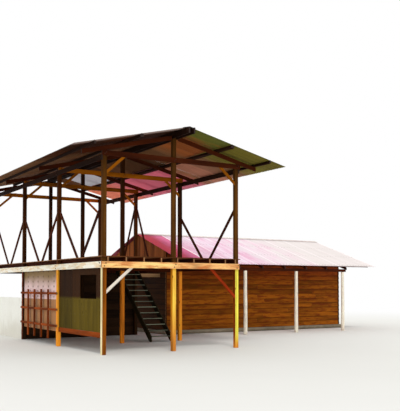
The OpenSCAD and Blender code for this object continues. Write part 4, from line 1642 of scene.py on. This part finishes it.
class HOUSE_OT_cabin_walls(bpy.types.Operator):
    """Board the four walls of the cabin on their studs"""

    bl_idname = "house.cabin_walls"
    bl_label = "Cabin walls"

    def execute(self, context):
        sizes = context.scene.stilt_house.timber
        self.long_wall("cabin_front_wall", -NORTH, sizes)
        self.long_wall("cabin_back_wall", NORTH, sizes)
        self.gable("cabin_left_gable", -EAST, sizes)
        self.gable("cabin_right_gable", EAST, sizes)
        return {"FINISHED"}

    def courses(self, stack, low, high, outward, sizes, material=0):
        """Lapped level boards over a rectangle of wall, out to the face that looks outward."""
        along = square_to(outward)
        outer = max(low.dot(outward), high.dot(outward))
        count = round((high.z - low.z) / sizes.wall_course)
        course = (high.z - low.z) / count
        for i in range(count):
            bottom = low.z + i * course
            top = min(bottom + course + COURSE_LAP, high.z)
            start, last = low.dot(along), high.dot(along)
            while start < last - NEAR:
                end = start + stack.rng.uniform(*COURSE_LENGTHS)
                if last - end < COURSE_SHORTEST:
                    end = last
                corner = outward * outer + along * (start + COURSE_JOINT) + UP * bottom
                inner = outward * (outer - COURSE_BOARD)
                other = inner + along * (end - COURSE_JOINT) + UP * top
                self.lapped_board(stack, corner, other, along, outward, material)
                start = end

    def lapped_board(self, stack, corner, other, along, outward, material):
        """One board, thin, wavy at its lower edge and leaning in under the next one."""
        bottom, height = corner.z, other.z - corner.z
        low = Vector([min(pair) for pair in zip(corner, other)])
        high = Vector([max(pair) for pair in zip(corner, other)])
        board = block(low, high)
        phase = stack.rng.uniform(0.0, 90.0)
        bmesh.ops.bisect_plane(
            board, geom=board.verts[:] + board.edges[:] + board.faces[:],
            plane_co=UP * (bottom + LIT_SHARE * height), plane_no=UP,
        )
        cross_cut(board, along, LEVEL_STEP)
        for vert in board.verts:
            warp = noise.noise(Vector((vert.co.dot(along) * 0.9, phase, 0.0)))
            upper = vert.co.z > bottom + BOARD_EDGE
            lean = BOARD_LEAN if upper else EDGE_LEAN + WARP_DEPTH * abs(warp)
            vert.co -= outward * lean
            if not upper:
                vert.co.z += WARP_RISE * abs(warp)
        ease_edges(board, THIN_EASE, segments=1)
        tone = stack.rng.uniform(0.1, 0.9)

        # painted shade: each board darkens towards its top, under the lap of the board above; the damp
        # share is that painted shade
        def lap_shading(spot):
            damp = max(0.0, (spot.z - bottom) / height - LIT_SHARE)
            return LIT_TONE - LAP_SHADE_TONE * damp / (1.0 - LIT_SHARE)

        stack.add(board, along, tone=tone, material=material, ends=1, shading=lap_shading)

    def long_wall(self, node, outward, sizes):
        """Lapped level boards on the outside, studs and plates inside."""
        low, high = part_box(node)
        stack = Stack(node)
        depth = high.y - low.y
        top = high.z - depth * math.tan(CABIN_PITCH)
        self.courses(stack, low, Vector((high.x, high.y, top)), outward, sizes)
        outer = high.y if outward.y > 0 else low.y
        near, far = sorted((outer - outward.y * LONG_BOARDING, outer - outward.y * depth))
        studs = round((high.x - low.x) / STUD_SPACING)
        for i in range(studs + 1):
            x = low.x + (high.x - low.x - PLANK) * i / studs
            sawn_member(
                stack, block((x, near, low.z + PLANK), (x + PLANK, far, top - PLANK)), UP, sizes
            )
        for z in (low.z, top - PLANK):
            plate = block((low.x, near, z), (high.x, far, z + PLANK))
            sawn_member(stack, plate, EAST, sizes)
        stack.finish(
            node + "_boards", "cabin_plank", [FINISHES["plank"], FINISHES["end"]], [node]
        )

    def gable(self, node, outward, sizes):
        """Level boards, upright ones above them to the roof, and a stud frame inside."""
        stack = Stack(node)
        slab = frame_copy(node)
        low, high = extent(slab)
        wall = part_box("cabin_front_wall")[1]
        sill = wall.z - sizes.gable_drop
        self.courses(stack, low, Vector((high.x, high.y, sill)), outward, sizes, material=2)
        outer = high.x if outward.x > 0 else low.x
        near, far = sorted((outer, outer - outward.x * GABLE_BOARD))
        skin = strip(slab, EAST, near, far)
        upper = strip(skin, UP, sill - GABLE_COVER, high.z)
        for board in boards(upper, NORTH, sizes.gable_board, GABLE_GAP, stack.rng, spread=0.08):
            shift = outward * -stack.rng.uniform(0.0, GABLE_UNEVEN)
            foot = stack.rng.uniform(0.0, GABLE_FOOT)
            for vert in board.verts:
                vert.co += shift
                if vert.co.z < sill:
                    vert.co.z += foot
            ease_edges(board, THIN_EASE, segments=1)
            cross_cut(board, UP, UPRIGHT_STEP)
            weather(board, THIN_WEAR)
            stack.add(board, UP, ends=1)
        upper.free()
        skin.free()
        depth = high.x - low.x
        near, far = sorted((outer - outward.x * GABLE_BOARDING, outer - outward.x * depth))
        core = strip(slab, EAST, near, far)
        studs = round((high.y - low.y) / STUD_SPACING)
        for i in range(studs + 1):
            y = low.y + (high.y - low.y - PLANK) * i / studs
            for stud in separated(strip(core, NORTH, y, y + PLANK)):
                sawn_member(stack, stud, UP, sizes, material=2)
        for i in range(GABLE_RAILS):
            z = low.z + i * GABLE_RAIL_STEP
            for rail in separated(strip(core, UP, z, z + PLANK)):
                sawn_member(stack, rail, NORTH, sizes, material=2)
        core.free()
        slab.free()
        finishes = [FINISHES[name] for name in ("gable", "end", "gable_low")]
        stack.finish(node + "_boards", "cabin_plank", finishes, [node])


class HOUSE_OT_cabin_base(bpy.types.Operator):
    """Cast the concrete base with worn edges"""

    bl_idname = "house.cabin_base"
    bl_label = "Cabin base"

    def execute(self, context):
        stack = Stack("base")
        slab = frame_copy("cabin_base")
        ease_edges(slab, BASE_EASE, segments=3)
        cross_cut(slab, EAST, BASE_STEP)
        cross_cut(slab, NORTH, BASE_STEP)
        weather(slab, BASE_WEAR, size=2.6)
        stack.add(slab, EAST)
        stack.finish("base_cast", "base_concrete", [FINISHES["base"]], ["cabin_base"])
        return {"FINISHED"}


class HOUSE_OT_porch_poles(bpy.types.Operator):
    """Shape the crooked round poles of the porch"""

    bl_idname = "house.porch_poles"
    bl_label = "Porch poles"

    def execute(self, context):
        stack = Stack("poles")
        for solid_pole in separated(frame_copy("porch_posts")):
            low, high = extent(solid_pole)
            solid_pole.free()
            self.pole(stack, low, high)
        stack.finish(
            "porch_poles", "weathered_round_wood", [FINISHES["pole"], FINISHES["end"]],
            ["porch_posts"],
        )
        return {"FINISHED"}

    def pole(self, stack, low, high):
        """A tapered pole with a slight bend, ribs and old branch scars."""
        radius = (high.x - low.x) / 2
        height = high.z - low.z
        middle = (low + high) / 2
        part = bmesh.new()
        bmesh.ops.create_cone(
            part, cap_ends=True, segments=28, radius1=radius * POLE_FOOT,
            radius2=radius * POLE_TOP, depth=height, matrix=Matrix.Translation(middle),
        )
        cross_cut(part, UP, 0.09)
        phase = stack.rng.uniform(0.0, 40.0)
        for vert in part.verts:
            level = (vert.co.z - low.z) / height
            centre_line = Vector((middle.x, middle.y, vert.co.z))
            out = vert.co - centre_line
            rib = noise.noise(Vector((out.x * 22, out.y * 22, vert.co.z * 1.3 + phase)))
            lump = noise.noise(Vector((out.x * 6, out.y * 6, vert.co.z * 3.0 + phase)))
            out *= 1.0 - RIB_DEPTH * abs(rib) - LUMP_DEPTH * abs(lump)
            bend = POLE_BEND * math.sin(math.pi * level * 1.6 + phase) * (1.0 - level)
            vert.co = centre_line + out + EAST * bend
        for face in part.faces:
            face.smooth = abs(face.normal.z) < 0.7
        stack.add(part, UP, ends=1)


class HOUSE_OT_fixings(bpy.types.Operator):
    """Set the roofing screws, the coach bolts and the nails"""

    bl_idname = "house.fixings"
    bl_label = "Fixings"

    def execute(self, context):
        sheets = context.scene.stilt_house.sheets
        self.roof_screws(sheets)
        self.bolts()
        self.nails()
        return {"FINISHED"}

    def roof_screws(self, sizes):
        """Screws through every second crest, over each purlin."""
        main = separated(frame_copy("roof_purlins"))
        cabin = separated(frame_copy("cabin_purlins"))
        purlins = [sum(extent(p), Vector()) / 2 for p in main]
        battens = [sum(extent(p), Vector()) / 2 for p in cabin]
        for part in main + cabin:
            part.free()
        for name, nodes, pitch, outward, lines in (
            ("left_roof_screws", ["left_roof_sheets"], MAIN_PITCH, -EAST, purlins),
            (
                "right_roof_screws",
                [
                    "right_front_sheets", "right_upper_sheets", "right_lower_sheets",
                    "clear_roof_sheet",
                ],
                MAIN_PITCH, EAST, purlins,
            ),
            ("cabin_front_screws", ["cabin_front_roof"], CABIN_PITCH, -NORTH, battens),
            ("cabin_back_screws", ["cabin_back_roof"], CABIN_PITCH, NORTH, battens),
        ):
            stack = Stack(name)
            places = []
            for node in nodes:
                for field in separated(frame_copy(node)):
                    places += self.crest_places(field, pitch, outward, lines, sizes)
            stack.repeat(screw(), places)
            stack.finish(name, "grey_roof_sheet", [FINISHES["steel"]])

    def crest_places(self, field, pitch, outward, lines, sizes):
        """Where the screws of one field of sheets stand."""
        matrix, length, waves = sheet_field(field, outward, pitch, sizes)
        height = SHEET_RISE - SCREW_DEPTH
        places = []
        for line in lines:
            down, _, out = matrix.inverted() @ line
            if not (0.0 < down < length and abs(out) < PURLIN_REACH):
                continue
            for wave in range(0, waves, 2):
                spot = matrix @ Vector((down, (wave + CREST) * sizes.corrugation, height))
                places.append(facing(spot, matrix.to_3x3() @ UP))
        return places

    def bolts(self):
        """Two bolts where each beam or tie crosses a post."""
        stack = Stack("bolts")
        places = []
        for low, high in (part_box("front_edge_beam"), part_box("front_tie_beam")):
            for x in POST_X:
                for side, z in zip(BOLT_SIDES, (low.z + 0.045, high.z - 0.050)):
                    places.append(facing((x + side, low.y, z), -NORTH))
        for row in ROW_Y[1:3]:
            face = row - HALF_POST - PLANK
            for foot in (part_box("rear_floor_beams")[0].z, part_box("rear_tie_beams")[0].z):
                for x in POST_X:
                    for side, z in zip(BOLT_SIDES, (foot + 0.045, foot + 0.110)):
                        places.append(facing((x + side, face, z), -NORTH))
        for low, high in (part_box("side_edge_beams"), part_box("wall_plates")):
            for row in ROW_Y:
                for side, z in zip(BOLT_SIDES, (low.z + 0.040, high.z - 0.045)):
                    places.append(facing((low.x, row + side, z), -EAST))
                    places.append(facing((high.x, row + side, z), EAST))
        stack.repeat(bolt_head(), places)
        stack.finish("coach_bolts", "grey_roof_sheet", [FINISHES["rusty_steel"]])

    def nails(self):
        """Nails of the flat sheets and boards along the left side."""
        stack = Stack("nails")
        start, end = WINDOW_ENDS
        places = []
        for node in ("pale_side_sheet", "grey_side_sheet", "white_side_sheet", "window_wall"):
            low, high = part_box(node)
            columns = max(2, round((high.y - low.y) / NAIL_ALONG))
            rows = max(2, round((high.z - low.z) / NAIL_UP))
            for i in range(columns + 1):
                for j in range(rows + 1):
                    y = low.y + NAIL_MARGIN + (high.y - low.y - 2 * NAIL_MARGIN) * i / columns
                    z = low.z + NAIL_MARGIN + (high.z - low.z - 2 * NAIL_MARGIN) * j / rows
                    across = start - WINDOW_MARGIN < y < end + WINDOW_MARGIN
                    level = WINDOW_SILL - WINDOW_MARGIN < z < WINDOW_HEAD + WINDOW_MARGIN
                    if node == "window_wall" and across and level:
                        continue
                    z += stack.rng.uniform(-NAIL_STRAY, NAIL_STRAY)
                    places.append(facing((low.x, y, z), -EAST))
        stack.repeat(nail_head(), places)
        stack.finish("sheet_nails", "grey_roof_sheet", [FINISHES["steel"]])


class HOUSE_OT_stage(bpy.types.Operator):
    """Set the floor, the light and the camera"""

    bl_idname = "house.stage"
    bl_label = "Floor, light and camera"

    def execute(self, context):
        stage = context.scene.stilt_house.stage
        self.floor(stage)
        self.sky(stage)
        self.key(stage)
        self.camera(context)
        context.scene.view_settings.view_transform = "Standard"
        return {"FINISHED"}

    def floor(self, stage):
        """A wide pale floor under the posts."""
        part = bmesh.new()
        bmesh.ops.create_grid(part, x_segments=1, y_segments=1, size=FLOOR_REACH)
        mesh = stored(part, "floor")
        floor = placed("floor", mesh)
        finish = Finish("floor")
        place = finish.place()
        shade = finish.cloud(place, scale=0.4, detail=3.0)
        base = finish.mix(stage.floor, tint(stage.floor, 0.97), shade)
        finish.constants(specular=0.1)
        mesh.materials.append(finish.close(base_color=base, roughness=0.9))
        self.fade(finish)

    def fade(self, finish):
        """The floor turns as white as the background far from the house."""
        middle = (Vector(cad_bounds[0]) + Vector(cad_bounds[1])) / 2
        offset = finish.node(
            "ShaderNodeVectorMath", {"operation": "DISTANCE"},
            {0: finish.place(), 1: (middle.x, middle.y, 0.0)}, "Value",
        )
        white = finish.node("ShaderNodeEmission", values={"Color": (1.0, 1.0, 1.0, 1.0)})
        lit = Signal(finish, finish.surface.outputs["BSDF"])
        blend = finish.node(
            "ShaderNodeMixShader", values={0: offset.rise(FADE_START, FADE_END), 1: lit, 2: white}
        )
        output = finish.tree.nodes["Material Output"]
        finish.tree.links.new(blend.socket, output.inputs["Surface"])

    def sky(self, stage):
        """White where the camera or a glossy surface looks, even light elsewhere."""
        world = bpy.data.worlds.new("studio")
        bpy.context.scene.world = world
        world.use_nodes = True
        tree = world.node_tree
        background = tree.nodes["Background"]
        background.inputs["Color"].default_value = (1.0, 1.0, 1.0, 1.0)
        path = tree.nodes.new("ShaderNodeLightPath")
        seen = path.outputs["Is Camera Ray"]
        for ray in ("Is Glossy Ray", "Is Transmission Ray"):
            join = tree.nodes.new("ShaderNodeMath")
            join.operation = "MAXIMUM"
            tree.links.new(seen, join.inputs[0])
            tree.links.new(path.outputs[ray], join.inputs[1])
            seen = join.outputs[0]
        strength = tree.nodes.new("ShaderNodeMapRange")
        strength.inputs["To Min"].default_value = stage.sky
        strength.inputs["To Max"].default_value = 1.0
        tree.links.new(seen, strength.inputs["Value"])
        tree.links.new(strength.outputs["Result"], background.inputs["Strength"])

    def key(self, stage):
        """A broad soft lamp, high in front of the house."""
        lamp = bpy.data.lights.new("key", "SUN")
        lamp.energy = stage.key
        lamp.angle = LAMP_WIDTH
        lamp.color = (1.0, 0.97, 0.92)
        placed("key", lamp).rotation_euler = (LAMP_TILT, 0.0, LAMP_TURN)

    def camera(self, context):
        """The camera that was solved from the photograph."""
        lens = bpy.data.cameras.new("camera")
        lens.sensor_width = SENSOR
        lens.lens = FOCAL_PIXELS / IMAGE_HEIGHT * SENSOR
        lens.shift_y = (HORIZON_CENTRE_PIXEL - IMAGE_HEIGHT / 2) / IMAGE_HEIGHT
        lens.clip_end = 500.0
        camera = placed("camera", lens)
        level = math.cos(CAMERA_RISE)
        look = Vector(
            (math.sin(CAMERA_TURN) * level, math.cos(CAMERA_TURN) * level, math.sin(CAMERA_RISE))
        )
        camera.location = CAMERA_PLACE
        camera.rotation_euler = look.to_track_quat("-Z", "Y").to_euler()
        context.scene.camera = camera


STEPS = (
    HOUSE_OT_finishes,
    HOUSE_OT_timbers,
    HOUSE_OT_deck,
    HOUSE_OT_lower_walls,
    HOUSE_OT_railing,
    HOUSE_OT_main_roof,
    HOUSE_OT_cabin_roof,
    HOUSE_OT_ridge_caps,
    HOUSE_OT_cabin_walls,
    HOUSE_OT_cabin_base,
    HOUSE_OT_porch_poles,
    HOUSE_OT_fixings,
    HOUSE_OT_stage,
)


class HOUSE_PT_panel(bpy.types.Panel):
    """Lists the steps and the settings"""

    bl_idname = "HOUSE_PT_panel"
    bl_label = "Stilt House"
    bl_space_type = "VIEW_3D"
    bl_region_type = "UI"
    bl_category = "Stilt House"

    def draw(self, context):
        settings = context.scene.stilt_house
        for step in STEPS:
            self.layout.operator(step.bl_idname)
        for group in (settings.timber, settings.sheets, settings.colours, settings.stage):
            box = self.layout.box()
            for name in group.__annotations__:
                box.prop(group, name)


CLASSES = (TimberSizes, SheetSizes, HouseColours, StageSizes, HouseSettings, *STEPS, HOUSE_PT_panel)


def register():
    for item in CLASSES:
        bpy.utils.register_class(item)
    bpy.types.Scene.stilt_house = PointerProperty(type=HouseSettings)


def unregister():
    del bpy.types.Scene.stilt_house
    for item in reversed(CLASSES):
        bpy.utils.unregister_class(item)


def main():
    register()
    for step in STEPS:
        getattr(bpy.ops.house, step.bl_idname.split(".")[1])()
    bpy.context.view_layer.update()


if __name__ == "__main__":
    main()
